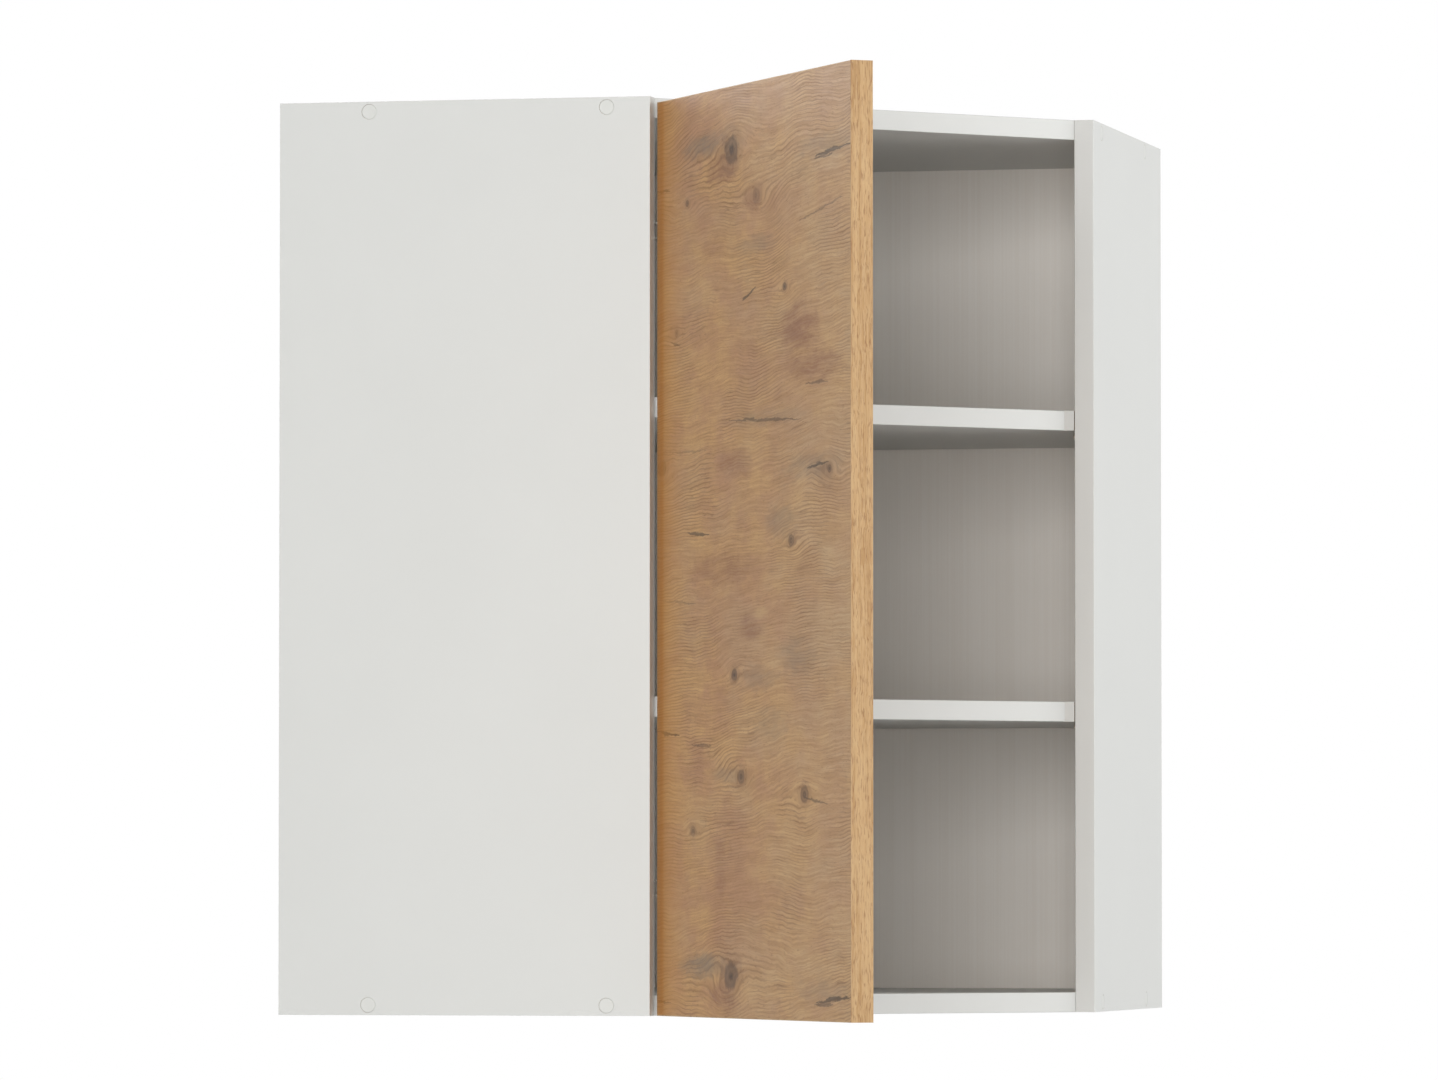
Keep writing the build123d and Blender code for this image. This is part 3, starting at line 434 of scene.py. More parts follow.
# %% [markdown]
# ## Rustic oak decor
#
# The door's two faces carry the same printed oak. Its fine growth lines run across the door and part round
# every knot like water round a stone. Knots, smears and cracks lie over them, and a painted orange
# reflection of light lies along the hinge edge. A picture would blur in a close view and would have to be
# cut to the door.
# A formula stays sharp, so the lesson writes down only where the features lie, and draws them with maths.

# %% Where the knots, smears and cracks lie
# Metres from the hinge end and from the bottom. The print repeats after about 635 mm.
knots = [  # along, up, radius, darkness
    (0.157, 0.667, 0.0115, 0.95),
    (0.157, 0.032, 0.0115, 0.95),
    (0.177, 0.185, 0.0055, 0.75),
    (0.305, 0.170, 0.0060, 0.75),
    (0.163, 0.263, 0.0050, 0.95),
    (0.208, 0.628, 0.0060, 0.35),
    (0.266, 0.555, 0.0032, 0.85),
    (0.065, 0.632, 0.0030, 0.75),
    (0.042, 0.532, 0.0032, 0.45),
    (0.012, 0.428, 0.0060, 0.60),
    (0.077, 0.144, 0.0040, 0.50),
    (0.279, 0.362, 0.0040, 0.70),
    (0.355, 0.413, 0.0030, 0.80),
]
smear_tones = {
    "grey": tint(124, 109, 93),
    "plum": tint(128, 86, 66),
    "straw": tint(202, 170, 124),
}
smears = [  # along, up, half length, half height, strength, tone
    (0.102, 0.674, 0.052, 0.010, 0.75, "grey"),
    (0.102, 0.039, 0.052, 0.010, 0.75, "grey"),
    (0.137, 0.653, 0.030, 0.013, 0.70, "plum"),
    (0.137, 0.018, 0.030, 0.013, 0.70, "plum"),
    (0.345, 0.657, 0.060, 0.010, 0.40, "grey"),
    (0.345, 0.022, 0.060, 0.010, 0.40, "grey"),
    (0.205, 0.627, 0.022, 0.012, 0.60, "plum"),
    (0.205, 0.590, 0.045, 0.008, 0.38, "grey"),
    (0.122, 0.591, 0.028, 0.009, 0.34, "plum"),
    (0.296, 0.522, 0.040, 0.020, 0.72, "plum"),
    (0.325, 0.492, 0.055, 0.014, 0.62, "plum"),
    (0.225, 0.457, 0.085, 0.006, 0.32, "grey"),
    (0.168, 0.427, 0.036, 0.013, 0.50, "plum"),
    (0.325, 0.416, 0.062, 0.011, 0.46, "grey"),
    (0.258, 0.378, 0.034, 0.014, 0.42, "grey"),
    (0.140, 0.346, 0.075, 0.015, 0.50, "plum"),
    (0.196, 0.298, 0.024, 0.010, 0.55, "plum"),
    (0.217, 0.309, 0.016, 0.005, 0.50, "straw"),
    (0.210, 0.259, 0.040, 0.010, 0.44, "grey"),
    (0.292, 0.274, 0.040, 0.016, 0.42, "grey"),
    (0.240, 0.226, 0.036, 0.014, 0.36, "grey"),
    (0.150, 0.186, 0.034, 0.006, 0.34, "grey"),
    (0.134, 0.112, 0.012, 0.024, 0.36, "plum"),
    (0.070, 0.560, 0.070, 0.020, 0.25, "straw"),
]
cracks = [  # along, up, half length, slope, half width, darkness
    (0.362, 0.652, 0.037, 0.08, 0.0017, 0.75),
    (0.343, 0.648, 0.020, 0.03, 0.0013, 0.60),
    (0.362, 0.017, 0.037, 0.08, 0.0017, 0.75),
    (0.343, 0.013, 0.020, 0.03, 0.0013, 0.60),
    (0.338, 0.609, 0.044, 0.15, 0.0010, 0.42),
    (0.194, 0.554, 0.015, 0.28, 0.0011, 0.75),
    (0.040, 0.524, 0.012, -0.12, 0.0010, 0.70),
    (0.330, 0.479, 0.024, -0.03, 0.0014, 0.50),
    (0.225, 0.456, 0.075, -0.04, 0.0014, 0.55),
    (0.055, 0.439, 0.050, -0.03, 0.0009, 0.35),
    (0.332, 0.417, 0.023, 0.08, 0.0012, 0.75),
    (0.088, 0.374, 0.025, -0.06, 0.0013, 0.70),
    (0.045, 0.322, 0.040, -0.06, 0.0010, 0.40),
    (0.095, 0.210, 0.022, -0.03, 0.0013, 0.45),
    (0.328, 0.165, 0.024, -0.10, 0.0011, 0.55),
    (0.014, 0.645, 0.016, -0.05, 0.0011, 0.90),
    (0.024, 0.220, 0.026, -0.07, 0.0013, 1.00),
    (0.016, 0.011, 0.016, -0.08, 0.0011, 0.90),
]
print("decor:", len(knots), "knots,", len(smears), "smears,", len(cracks), "cracks")

# %% [markdown]
# ## Growth lines
#
# The growth lines are the level lines of a height that rises up the door. Three noises bend it: a slow
# wander, a sway and a small ripple. Then each knot pushes it aside by the formula for a stream round a
# post, so that the lines part before the knot and close behind it. With noise alone, the grain would run
# straight through the knots.

# %% A height whose level lines are the growth lines
growth_pitch = 0.0027  # distance between growth lines
grain_climb = 0.05  # metres that the lines climb for each metre along the door
bends = [  # stretch, start of the noise, height in metres
    ((5.5, 0, 7), (0, 0, 0), 0.034),
    ((18, 0, 24), (3.1, 0, 5.7), 0.009),
    ((80, 0, 55), (1.7, 0, 2.9), 0.0018),
]
knot_reach = 2.4  # how far a knot pushes the lines, in its own radii
knot_stretch = 0.2  # below 1, its push reaches further along the grain than across it


def growth_lines(finish, place):
    along, _, up = finish.split(place)
    line = up - grain_climb * along
    for stretch, start, height in bends:
        line = line + (finish.noise(finish.stretched(place, stretch, start), detail=2) - 0.5) * height
    for knot_along, knot_up, radius, _ in knots:
        side = along - knot_along
        rise = up - knot_up
        square = side * side * knot_stretch + rise * rise
        push = (knot_reach * radius) ** 2
        line = line - rise * push / (square + push)
    return line


print("growth lines:", round(growth_pitch * 1000, 1), "mm apart")

# %% [markdown]
# ## Marks along the grain
#
# Printed oak shows growth lines, pale and dark fibres, rarer dark veins, and pores like short dashes. The
# lines are almost evenly spaced, so they are a sine of that height. The others are scattered, so they are
# noise that is drawn out along the same lines.

# %% Lines, streaks, veins and pores
phase_drift = 30  # slow noise adds up to this many radians, so that the distance between lines varies
faint_line, clear_line = 0.07, 0.42
faint_vein, clear_vein = 0.25, 0.75
line_lift = 0.14  # the lines are a little clearer at the hinges
grain_noises = {  # scale along and across the grain, detail, roughness, where it starts and is full
    "streak": ((18, 520), 5, 0.70, (0.36, 0.64)),
    "vein": ((22, 330), 4, 0.66, (0.56, 0.68)),
    "pore": ((190, 1500), 2, 0.60, (0.56, 0.72)),
}


def along_grain(finish, along, line, stretch, detail, roughness):
    """Noise that is drawn out along the growth lines. stretch is its scale along and across them."""
    bent = finish.join(along * stretch[0], 0, line * stretch[1])
    return finish.noise(bent, detail=detail, roughness=roughness)


def grain_marks(finish, place, line):
    """Four masks from 0 to 1: streaks, veins, pores and growth lines."""
    along = finish.split(place)[0]
    # Streaks are pale and dark fibres, veins are rarer and darker, and pores are short dashes.
    marks = {}
    for name, (stretch, detail, roughness, limits) in grain_noises.items():
        noise = along_grain(finish, along, line, stretch, detail, roughness)
        marks[name] = finish.between(noise, *limits)
    # Growth lines are thin and dark. They come and go, and their distance changes slowly.
    drift = finish.noise(finish.stretched(place, (6, 0, 14), (9, 0, 2)), detail=2)
    phase = line * (2 * pi / growth_pitch) + drift * phase_drift
    thin = finish.between(phase.maths("SINE") * 0.5 + 0.5, 0.55, 1.0)
    patches = finish.noise(finish.stretched(place, (11, 0, 16), (1, 0, 8)), detail=3, roughness=0.6)
    at_hinges = 1 - finish.between(along, 0.012, 0.060)
    presence = finish.between(patches + at_hinges * line_lift, 0.42, 0.64)
    marks["vein"] = marks["vein"] * (faint_vein + clear_vein * presence)
    marks["growth line"] = thin * (faint_line + clear_line * presence)
    return marks


print("grain marks:", ", ".join(grain_noises), "and growth line")

# %% [markdown]
# ## Colour of the oak
#
# The print has tan, pinker brown and greyer beige in slow clouds. It turns greyer away from the hinges,
# partly as the print does and partly as a painted sheen of reflected light.
# Two noises with other starts choose between the three, because one noise would always put the same two
# colours side by side.

# %% Clouds of tan, brown and beige
oak_tones = {
    "tan": tint(195, 153, 101),
    "brown": tint(174, 130, 95),
    "beige": tint(186, 157, 121),
    "streak": tint(149, 113, 80),
    "growth line": tint(112, 78, 52),
    "vein": tint(108, 76, 54),
    "pore": tint(96, 70, 50),
    "halo": tint(130, 98, 74),
    "ring": tint(90, 66, 50),
    "heart": tint(80, 62, 50),
    "crack": tint(62, 50, 42),
    # The last two are painted reflected light along the hinge edge, not print.
    "painted reflection": tint(188, 136, 76),
    "painted deep reflection": tint(172, 108, 42),
}


def oak_ground(finish, place):
    """The oak's colour without its marks."""
    along = finish.split(place)[0]
    cloud = finish.noise(finish.stretched(place, (9, 0, 15), (4, 0, 4)), detail=6, roughness=0.70)
    grey_cloud = finish.noise(finish.stretched(place, (7, 0, 15), (7, 0, 1)), detail=5, roughness=0.66)
    # The grey clouds are the print's own; the grey that grows away from the hinges is partly a painted
    # sheen.
    grey_clouds_and_painted_sheen = 0.4 * finish.between(grey_cloud, 0.42, 0.66) + 0.5 * finish.between(along, 0.1, 0.42)
    tone = finish.blend(finish.between(cloud, 0.38, 0.62), oak_tones["tan"], oak_tones["brown"])
    return finish.blend(grey_clouds_and_painted_sheen, tone, oak_tones["beige"])


print("oak tones:", ", ".join(oak_tones))

# %% [markdown]
# ## Smears and knots
#
# Smears are soft stains in grey, plum or straw. A knot has a brown halo, dark rings and a darker heart.
# Each is an ellipse that is mixed over the colour so far. The same ragged noise frays them all along the
# grain, so that none looks like a round spot.

# %% Smears and knots
smear_fray = 4.4  # how strongly the ragged noise frays a smear
knot_fray = 1.7
knot_width = 1.3  # a knot is this much wider than high
ring_turns = 9.0  # radians of ring pattern for each radius outwards
halo_strength, ring_strength = 0.50, 0.45
plain_heart, ringed_heart = 0.6, 0.4


def with_smears(finish, tone, along, up, ragged):
    """Soft stains, each in its own tone."""
    for smear_along, smear_up, half_length, half_height, strength, name in smears:
        side = (along - smear_along) / half_length
        rise = (up - smear_up) / half_height
        distance = side * side + rise * rise + ragged * smear_fray
        cover = (1 - finish.between(distance, -0.6, 1.6)) * strength
        tone = finish.blend(cover, tone, smear_tones[name])
    return tone


def with_knots(finish, tone, along, up, ragged):
    """A brown halo, dark rings and a darker heart for every knot."""
    for knot_along, knot_up, radius, darkness in knots:
        side = (along - knot_along) / (knot_width * radius)
        rise = (up - knot_up) / radius
        distance = (side * side + rise * rise) ** 0.5 + ragged * knot_fray
        ring = (distance * ring_turns).maths("SINE") * 0.5 + 0.5
        halo = (1 - finish.between(distance, 0.6, 2.0)) * darkness
        heart = (1 - finish.between(distance, 0.5, 1.1)) * darkness
        tone = finish.blend(halo * halo_strength, tone, oak_tones["halo"])
        tone = finish.blend(halo * ring * ring_strength, tone, oak_tones["ring"])
        tone = finish.blend(heart * (plain_heart + ringed_heart * ring), tone, oak_tones["heart"])
    return tone


print("helpers: with_smears, with_knots")

# %% [markdown]
# ## Cracks and the painted reflection at the hinges
#
# A crack is a short dark line that thins towards its ends and lies a little below the surface. It is drawn
# by the distance from a sloping line. The painted reflection of light along the hinge edge is a distance
# too, from the door's edge.

# %% Cracks and the painted reflection at the hinges
crack_fray = 0.009
crack_taper = 1.2  # half widths in a crack's middle, from which one is lost towards its ends
crack_blur = 0.0003  # softness of its sides
crack_end = 0.003  # and of its ends
# Painted reflected light along the hinge edge: an orange strip, with a deeper line in it.
painted_reflection_reach = (0.006, 0.075)  # from the hinges, full up to the first and gone at the second
painted_deep_reflection_reach = (0.0005, 0.008)  # the same, from the line below
painted_deep_reflection_line = 0.010  # distance of that line from the hinges
painted_reflection_strength, painted_deep_reflection_strength = 0.60, 0.42


def with_cracks(finish, tone, along, up, ragged):
    """The colour with every crack in it, and how deep the cracks are."""
    hollow = 0
    for crack_along, crack_up, half_length, slope, half_width, darkness in cracks:
        side = along - crack_along
        rise = up - crack_up - side * slope + ragged * crack_fray
        from_middle = side.maths("ABSOLUTE")
        width = half_width * (crack_taper - from_middle / half_length)
        depth = 1 - finish.between(rise.maths("ABSOLUTE"), width * 0.5, width + crack_blur)
        mark = depth * finish.between(half_length - from_middle, 0, crack_end) * darkness
        tone = finish.blend(mark, tone, oak_tones["crack"])
        hollow = mark + hollow
    return tone, hollow


def with_painted_reflection(finish, tone, along):
    """Painted reflected light: orange in the first centimetres from the hinges, and deepest along one line.
    """
    reflected_share = 1 - finish.between(along, *painted_reflection_reach)
    deep_reflected_share = 1 - finish.between((along - painted_deep_reflection_line).maths("ABSOLUTE"), *painted_deep_reflection_reach)
    tone = finish.blend(reflected_share * painted_reflection_strength, tone, oak_tones["painted reflection"])
    return finish.blend(deep_reflected_share * painted_deep_reflection_strength, tone, oak_tones["painted deep reflection"])


print("helpers: with_cracks, with_painted_reflection")

# %% [markdown]
# ## The oak put together
#
# The layers go on in turn: ground, grain, stains, knots, cracks and, last, the painted reflection at the
# hinges.
# Cracks, pores and streaks also lower the surface, and streaks and pores dull its gloss, because light that
# grazes a flat print would give it away.

# %% Oak decor
mark_strengths = {"streak": 0.46, "growth line": 1.0, "vein": 0.48, "pore": 0.40}
ragged_stretch = (34, 120)  # scale of the fraying noise along and across the grain
print_relief = 0.00006  # the pores are pressed into the foil


def oak_decor():
    finish = Finish("oak_decor_print")
    place = door_place(finish)
    along, _, up = finish.split(place)
    line = growth_lines(finish, place)
    marks = grain_marks(finish, place, line)
    streak, pore = marks["streak"], marks["pore"]
    tone = oak_ground(finish, place)
    for name, strength in mark_strengths.items():
        tone = finish.blend(marks[name] * strength, tone, oak_tones[name])
    ragged = along_grain(finish, along, line, ragged_stretch, detail=5, roughness=0.72) - 0.5
    tone = with_smears(finish, tone, along, up, ragged)
    tone = with_knots(finish, tone, along, up, ragged)
    tone, hollow = with_cracks(finish, tone, along, up, ragged)
    return finish.surface(
        # The base colour ends with painted reflected light along the hinge edge.
        Base_Color=with_painted_reflection(finish, tone, along),
        Roughness=0.44 + 0.12 * streak + 0.1 * pore,
        Specular_IOR_Level=0.3,
        Normal=finish.bump(1 - pore * 0.6 - streak * 0.2 - hollow, print_relief),
    )


oak_finish = oak_decor()
dress("door_panel", oak_finish)
print("door panel:", oak_finish.name, "of", len(oak_finish.node_tree.nodes), "nodes")

# %% [markdown]
# ## Oak edge bands of the door
#
# The door's bands are lighter and more golden than its faces, with straight grain along each strip:
# upright on the two ends, lying down on the top and the bottom. The same function makes both, with the
# stretch of its noise turned.

# %% Oak bands
oak_band_tones = tint(160, 122, 77), tint(180, 145, 101)
band_grain_tone = tint(190, 160, 118)
band_dash_tone = tint(124, 82, 44)
band_sway = 0.004  # the grain wanders by up to this much
dash_depth = 0.00005


def lengthwise(upright, across, along):
    """Scales of a noise that is fine across the strip and long along it."""
    return (across, across, along) if upright else (along, across, across)


def oak_band(name, upright):
    """Golden oak with fine grain and short dark pores along the strip."""
    finish = Finish(name)
    place = door_place(finish)
    sway = finish.noise(finish.stretched(place, lengthwise(upright, 30, 45)), detail=2) * band_sway
    shift = finish.join(sway, sway, 0) if upright else finish.join(0, sway, sway)
    place = finish.add(place, shift)
    grain = finish.noise(finish.stretched(place, lengthwise(upright, 900, 22)), detail=3, roughness=0.6)
    bands = finish.noise(finish.stretched(place, lengthwise(upright, 260, 7)), detail=2, distortion=0.4)
    short = finish.stretched(place, lengthwise(upright, 1300, 120), (5, 2, 7))
    dashes = finish.between(finish.noise(short, detail=3), 0.53, 0.66)
    tone = finish.blend(finish.between(bands, 0.35, 0.65), *oak_band_tones)
    tone = finish.blend(finish.between(grain, 0.35, 0.65) * 0.6, tone, band_grain_tone)
    tone = finish.blend(dashes * 0.62, tone, band_dash_tone)
    return finish.surface(
        Base_Color=tone,
        Roughness=0.42 + 0.14 * grain,
        Normal=finish.bump(1 - dashes, dash_depth),
    )


dress("door_end_bands", oak_band("oak_end_band", True))
dress("door_long_bands", oak_band("oak_long_band", False))
print("door bands: upright and lying grain")

# %% [markdown]
# ## Solid woods
#
# The corner post is a planed pine batten and the dowels are beech. Solid wood shows rings where it is cut
# across and lines where it is cut along, and both come from one field: the distance from a pith that lies
# outside the post and runs up beside it. Beech is plain, with small flecks.

# %% Pine post and beech dowels
pith_x, pith_y = -0.05, -0.09  # the pith runs upwards here
rings_per_metre = 420
ring_bend = 0.012  # the rings waver by up to this much
fibre_depth, fleck_depth = 0.00008, 0.00006


def pine():
    finish = Finish("planed_pine")
    x, y, _ = finish.split(finish.place)
    bend = finish.noise(finish.stretched(finish.place, (9, 9, 1.6)), detail=2) * ring_bend
    across = x - pith_x + bend
    deep = y - pith_y + bend
    from_pith = (across * across + deep * deep) ** 0.5
    rings = finish.between((from_pith * rings_per_metre).maths("FRACT"), 0.35, 1.0)
    fibre = finish.noise(finish.stretched(finish.place, (1500, 1500, 30)), detail=2)
    tone = finish.blend(rings, tint(226, 194, 142), tint(190, 144, 88))
    return finish.surface(
        Base_Color=finish.blend(fibre * 0.35, tone, tint(238, 214, 170)),
        Roughness=0.6 + 0.1 * fibre,
        Normal=finish.bump(fibre, fibre_depth),
    )


def beech():
    finish = Finish("beech_dowel")
    flecks = finish.noise(finish.place, scale=900, detail=3, distortion=0.6)
    return finish.surface(
        Base_Color=finish.blend(finish.between(flecks, 0.4, 0.7), tint(222, 186, 146), tint(186, 142, 102)),
        Roughness=0.55 + 0.1 * flecks,
        Normal=finish.bump(flecks, fleck_depth),
    )


dress("corner_post", pine())
dress("dowels", beech())
print("solid woods: pine post, beech dowels")

# %% [markdown]
# ## Metals
#
# The hinges are nickel-plated and polished, the screws and hooks are zinc-plated and duller. Rolled sheet
# keeps faint lines along its length, plating pools into small clouds, and handling leaves fine scuffs. All
# three change the roughness, the clouds also change the tone, and the lines are a slight relief as well.
# Both metals come from one function, with other colours, gloss and lines.

# %% Plated steel
rolling_depth = 0.00001


def plated(name, dark, light, gloss, lines):
    """Plated steel. gloss is its least roughness, and lines the stretch of its rolling marks."""
    finish = Finish(name)
    rolled = finish.noise(finish.stretched(finish.place, lines), detail=3, roughness=0.6)
    clouds = finish.noise(finish.place, scale=110, detail=3)
    scuffs = finish.noise(finish.stretched(finish.place, (2400, 500, 900)), detail=2)
    worn = finish.between(scuffs, 0.6, 0.75)
    return finish.surface(
        Base_Color=finish.blend(clouds, dark, light),
        Metallic=1.0,
        Roughness=gloss + 0.12 * rolled + 0.08 * clouds + 0.1 * worn,
        Normal=finish.bump(rolled, rolling_depth),
    )


nickel = plated("nickel_plate", tint(196, 190, 180), tint(218, 213, 204), 0.16, (180, 180, 2600))
zinc = plated("zinc_plate", tint(178, 182, 186), tint(206, 210, 214), 0.26, (700, 700, 700))
nickel_nodes = ["shelf_pins"]
for hinge in ("lower", "upper"):
    for part in ("hinge_cup", "outer_link", "inner_link", "hinge_arm", "mounting_plate"):
        nickel_nodes.append(f"{hinge}_{part}")
zinc_nodes = ["cup_pins", "arm_pins", "back_brads", "connecting_screws"]
for side in ("left", "right"):
    zinc_nodes.append(f"{side}_hanger_hook")
for node in nickel_nodes:
    dress(node, nickel)
for node in zinc_nodes:
    dress(node, zinc)
print("metals:", nickel.name, "on", len(nickel_nodes), "nodes and", zinc.name, "on", len(zinc_nodes))

# %% [markdown]
# ## Plastics
#
# Hanger housings and their sliders are moulded, with a fine spark-eroded grain. The cover caps are almost
# the white of the boards and polished flat. The bumpers are clear soft buttons that look milky.

# %% Moulded white plastic, caps and bumpers
def moulded(name, dark, light, roughness, grain_depth):
    finish = Finish(name)
    grain = finish.noise(finish.place, scale=2100, detail=3, roughness=0.6)
    flow = finish.noise(finish.place, scale=60, detail=2, distortion=0.8)
    return finish.surface(
        Base_Color=finish.blend(flow, dark, light),
        Roughness=roughness + 0.12 * grain,
        Normal=finish.bump(grain, grain_depth),
    )


hanger_finish = moulded("hanger_plastic", tint(212, 212, 207), tint(222, 222, 217), 0.42, 0.00003)
cap_finish = moulded("cap_plastic", tint(203, 204, 200), tint(207, 208, 204), 0.34, 0.00001)
bumper_finish = moulded("bumper_rubber", tint(204, 206, 202), tint(218, 220, 216), 0.22, 0.00001)
for side in ("left", "right"):
    dress(f"{side}_hanger_housing", hanger_finish)
    dress(f"{side}_hanger_slider", hanger_finish)
dress("cover_caps", cap_finish)
dress("door_bumpers", bumper_finish)
print("plastics: hangers, caps, bumpers")

# %% [markdown]
# ## Where the screws sit
#
# The frame's screws are plain turned solids. The real ones have domed heads with a cross recess and rolled
# threads, and a lesson in screws starts with measuring. Each solid of a node is an island of its mesh. An
# island's box tells its axis, because its other two sides are equally long. Its widest points are the rim
# of the head, so they tell which end is the head, how wide and how high it is.

# %% Islands and their measures
merge_distance = 0.000001
rim_share = 0.9  # points past this share of the head's radius belong to its rim


def islands(node):
    """The separate solids of a node, each as a list of points, in a fixed order."""
    shape = bmesh.new()
    shape.from_mesh(frame["nodes"][node].data)
    bmesh.ops.remove_doubles(shape, verts=shape.verts, dist=merge_distance)
    left = set(shape.verts)
    groups = []
    while left:
        border = [left.pop()]
        group = []
        while border:
            vertex = border.pop()
            group.append(vertex.co.copy())
            near = {edge.other_vert(vertex) for edge in vertex.link_edges} & left
            left -= near
            border.extend(near)
        groups.append(group)
    shape.free()
    return sorted(groups, key=lambda group: [round(min(p[i] for p in group), 5) for i in range(3)])


def measure(points, turn):
    """The seat under a screw's head, its aim and its sizes. turn is about Z, for the open door."""
    local = [Matrix.Rotation(-turn, 3, "Z") @ point for point in points]
    low = Vector([min(p[i] for p in local) for i in range(3)])
    high = Vector([max(p[i] for p in local) for i in range(3)])
    middle, size = (low + high) / 2, high - low
    axis = min(range(3), key=lambda i: abs(size[i - 1] - size[i - 2]))
    head_radius = (size[axis - 1] + size[axis - 2]) / 4
    radii = []
    for point in local:
        across = point - middle
        across[axis] = 0
        radii.append(across.length)
    rim = [p[axis] for p, radius in zip(local, radii) if radius > rim_share * head_radius]
    side = 1 if sum(rim) / len(rim) > middle[axis] else -1
    end = high[axis] if side > 0 else low[axis]
    depths = [abs(end - p[axis]) for p in local]
    head_height = max(abs(end - height) for height in rim)
    shank_radius = max(radius for depth, radius in zip(depths, radii) if depth > size[axis] / 2)
    seat, aim = middle.copy(), Vector((0, 0, 0))
    seat[axis] = end - side * head_height
    aim[axis] = side
    turned = Matrix.Rotation(turn, 3, "Z")
    sizes = {
        "Head Radius": head_radius,
        "Head Height": head_height,
        "Shank Radius": shank_radius,
        "Shank Length": size[axis] - head_height,
    }
    return turned @ seat, turned @ aim, sizes


for node in ("plate_screws", "hanger_screws"):
    seat, aim, sizes = measure(islands(node)[0], 0)
    print(node, "aim", tuple(round(a) for a in aim), {key: round(value, 5) for key, value in sizes.items()})

# %% [markdown]
# ## One tree for every screw
#
# Geometry Nodes suit screws: the shape follows a rule, and it repeats. The tree has a named input for each
# size, so that one tree makes every kind. Head and shank start as a plain tube of radius 1, whose points
# are then moved, because a moved point can follow any formula and a ready-made cylinder can't.

# %% Parts of a geometry tree
def shape_tree(name, sizes):
    """An empty geometry tree with named number inputs, and the outputs of its input node."""
    tree = bpy.data.node_groups.new(name, "GeometryNodeTree")
    sockets = tree.interface
    sockets.new_socket("Seats", in_out="INPUT", socket_type="NodeSocketGeometry")
    for size in sizes:
        sockets.new_socket(size, in_out="INPUT", socket_type="NodeSocketFloat")
    sockets.new_socket("Finish", in_out="INPUT", socket_type="NodeSocketMaterial")
    sockets.new_socket("Shape", in_out="OUTPUT", socket_type="NodeSocketGeometry")
    graph = Graph(tree)
    outputs = graph.node("NodeGroupInput").socket.node.outputs
    return graph, {output.name: Wire(graph, output) for output in outputs}


def moved(graph, mesh, x, y, z):
    """The mesh with new positions."""
    return graph.node("GeometryNodeSetPosition", inputs={"Geometry": mesh, "Position": graph.join(x, y, z)})


def unit_tube(graph, points, rings):
    """An upright tube of radius 1 and height 1, with the parts of its position."""
    sizes = {"Vertices": points, "Side Segments": rings, "Radius": 1.0, "Depth": 1.0}
    tube = graph.node("GeometryNodeMeshCylinder", inputs=sizes)
    x, y, z = graph.split(graph.node("GeometryNodeInputPosition"))
    return tube, x, y, z + 0.5


print("helpers: shape_tree, moved, unit_tube")

# %% [markdown]
# ## Head, shank and recess
#
# The head is a tube whose radius follows a stretch of an ellipse. The shank is a tube of many rings, and
# its radius rises and falls with the height plus the angle, which is a helix. The cross recess is two
# blades that narrow downwards, to be cut out of the head.

# %% Head, shank and recess
head_points, head_rings = 32, 7
crown_fall = 0.44  # the square of the head's radius falls by this share up to the crown
shank_points, rings_per_turn = 16, 5
thread_depth = 0.2  # share of the shank's radius
root_share = 0.3  # the shank starts inside the head, at this share of its height
tip_share = 0.2  # radius of the shank's tip, as a share
blade_shapes = ((1.15, 0.3), (0.3, 1.15))  # how wide and how deep each blade of the cross is
blade_taper = 0.52  # the blades widen upwards by this share of the head's radius
blade_middle = 0.74  # their size halfway up, in radii of the head
blade_reach = 1.9  # height of the blades, in heads


def screw_head(graph, radius, height):
    """A dome: its radius falls along an ellipse to three quarters at the crown."""
    tube, x, y, t = unit_tube(graph, head_points, head_rings)
    swell = radius * (1 - crown_fall * t * t) ** 0.5
    return moved(graph, tube, x * swell, y * swell, t * height)


def screw_shank(graph, radius, length, head_height, pitch, point):
    """A tube that starts inside the head. Its thread is a rise and fall along a helix."""
    tube, x, y, t = unit_tube(graph, shank_points, length / pitch * rings_per_turn)
    climb = t * (length + head_height * root_share)
    turn = y.maths("ARCTAN2", x) / (2 * pi)
    wave = (climb / pitch + turn).maths("FRACT") * 2 - 1
    thread = radius * (1 - thread_depth * wave.maths("ABSOLUTE"))
    taper = (tip_share + climb / point).maths("MINIMUM", 1.0)
    return moved(graph, tube, x * thread * taper, y * thread * taper, climb - length)


def recess_blades(graph, head_radius, head_height):
    """Two blades that narrow downwards."""
    blades = []
    for wide, deep in blade_shapes:
        box = graph.node("GeometryNodeMeshCube", inputs={"Size": (1, 1, 1)})
        x, y, z = graph.split(graph.node("GeometryNodeInputPosition"))
        narrow = head_radius * (blade_middle + blade_taper * z)
        height = head_height * (1 + blade_reach * z)
        blades.append(moved(graph, box, x * narrow * wide, y * narrow * deep, height))
    return blades


print("thread depth:", thread_depth, "of the shank's radius")

# %% [markdown]
# ## The whole tree
#
# A union joins head and shank, and a difference cuts the recess. The result is set on every seat, aimed
# along it, and rolled by a seeded random angle, because nobody lines up screw slots by hand. At the end the
# copies are made real, into one plain mesh.

# %% The screw tree
flat_angle = radians(32)  # edges that bend more stay sharp
roll_seed = 7


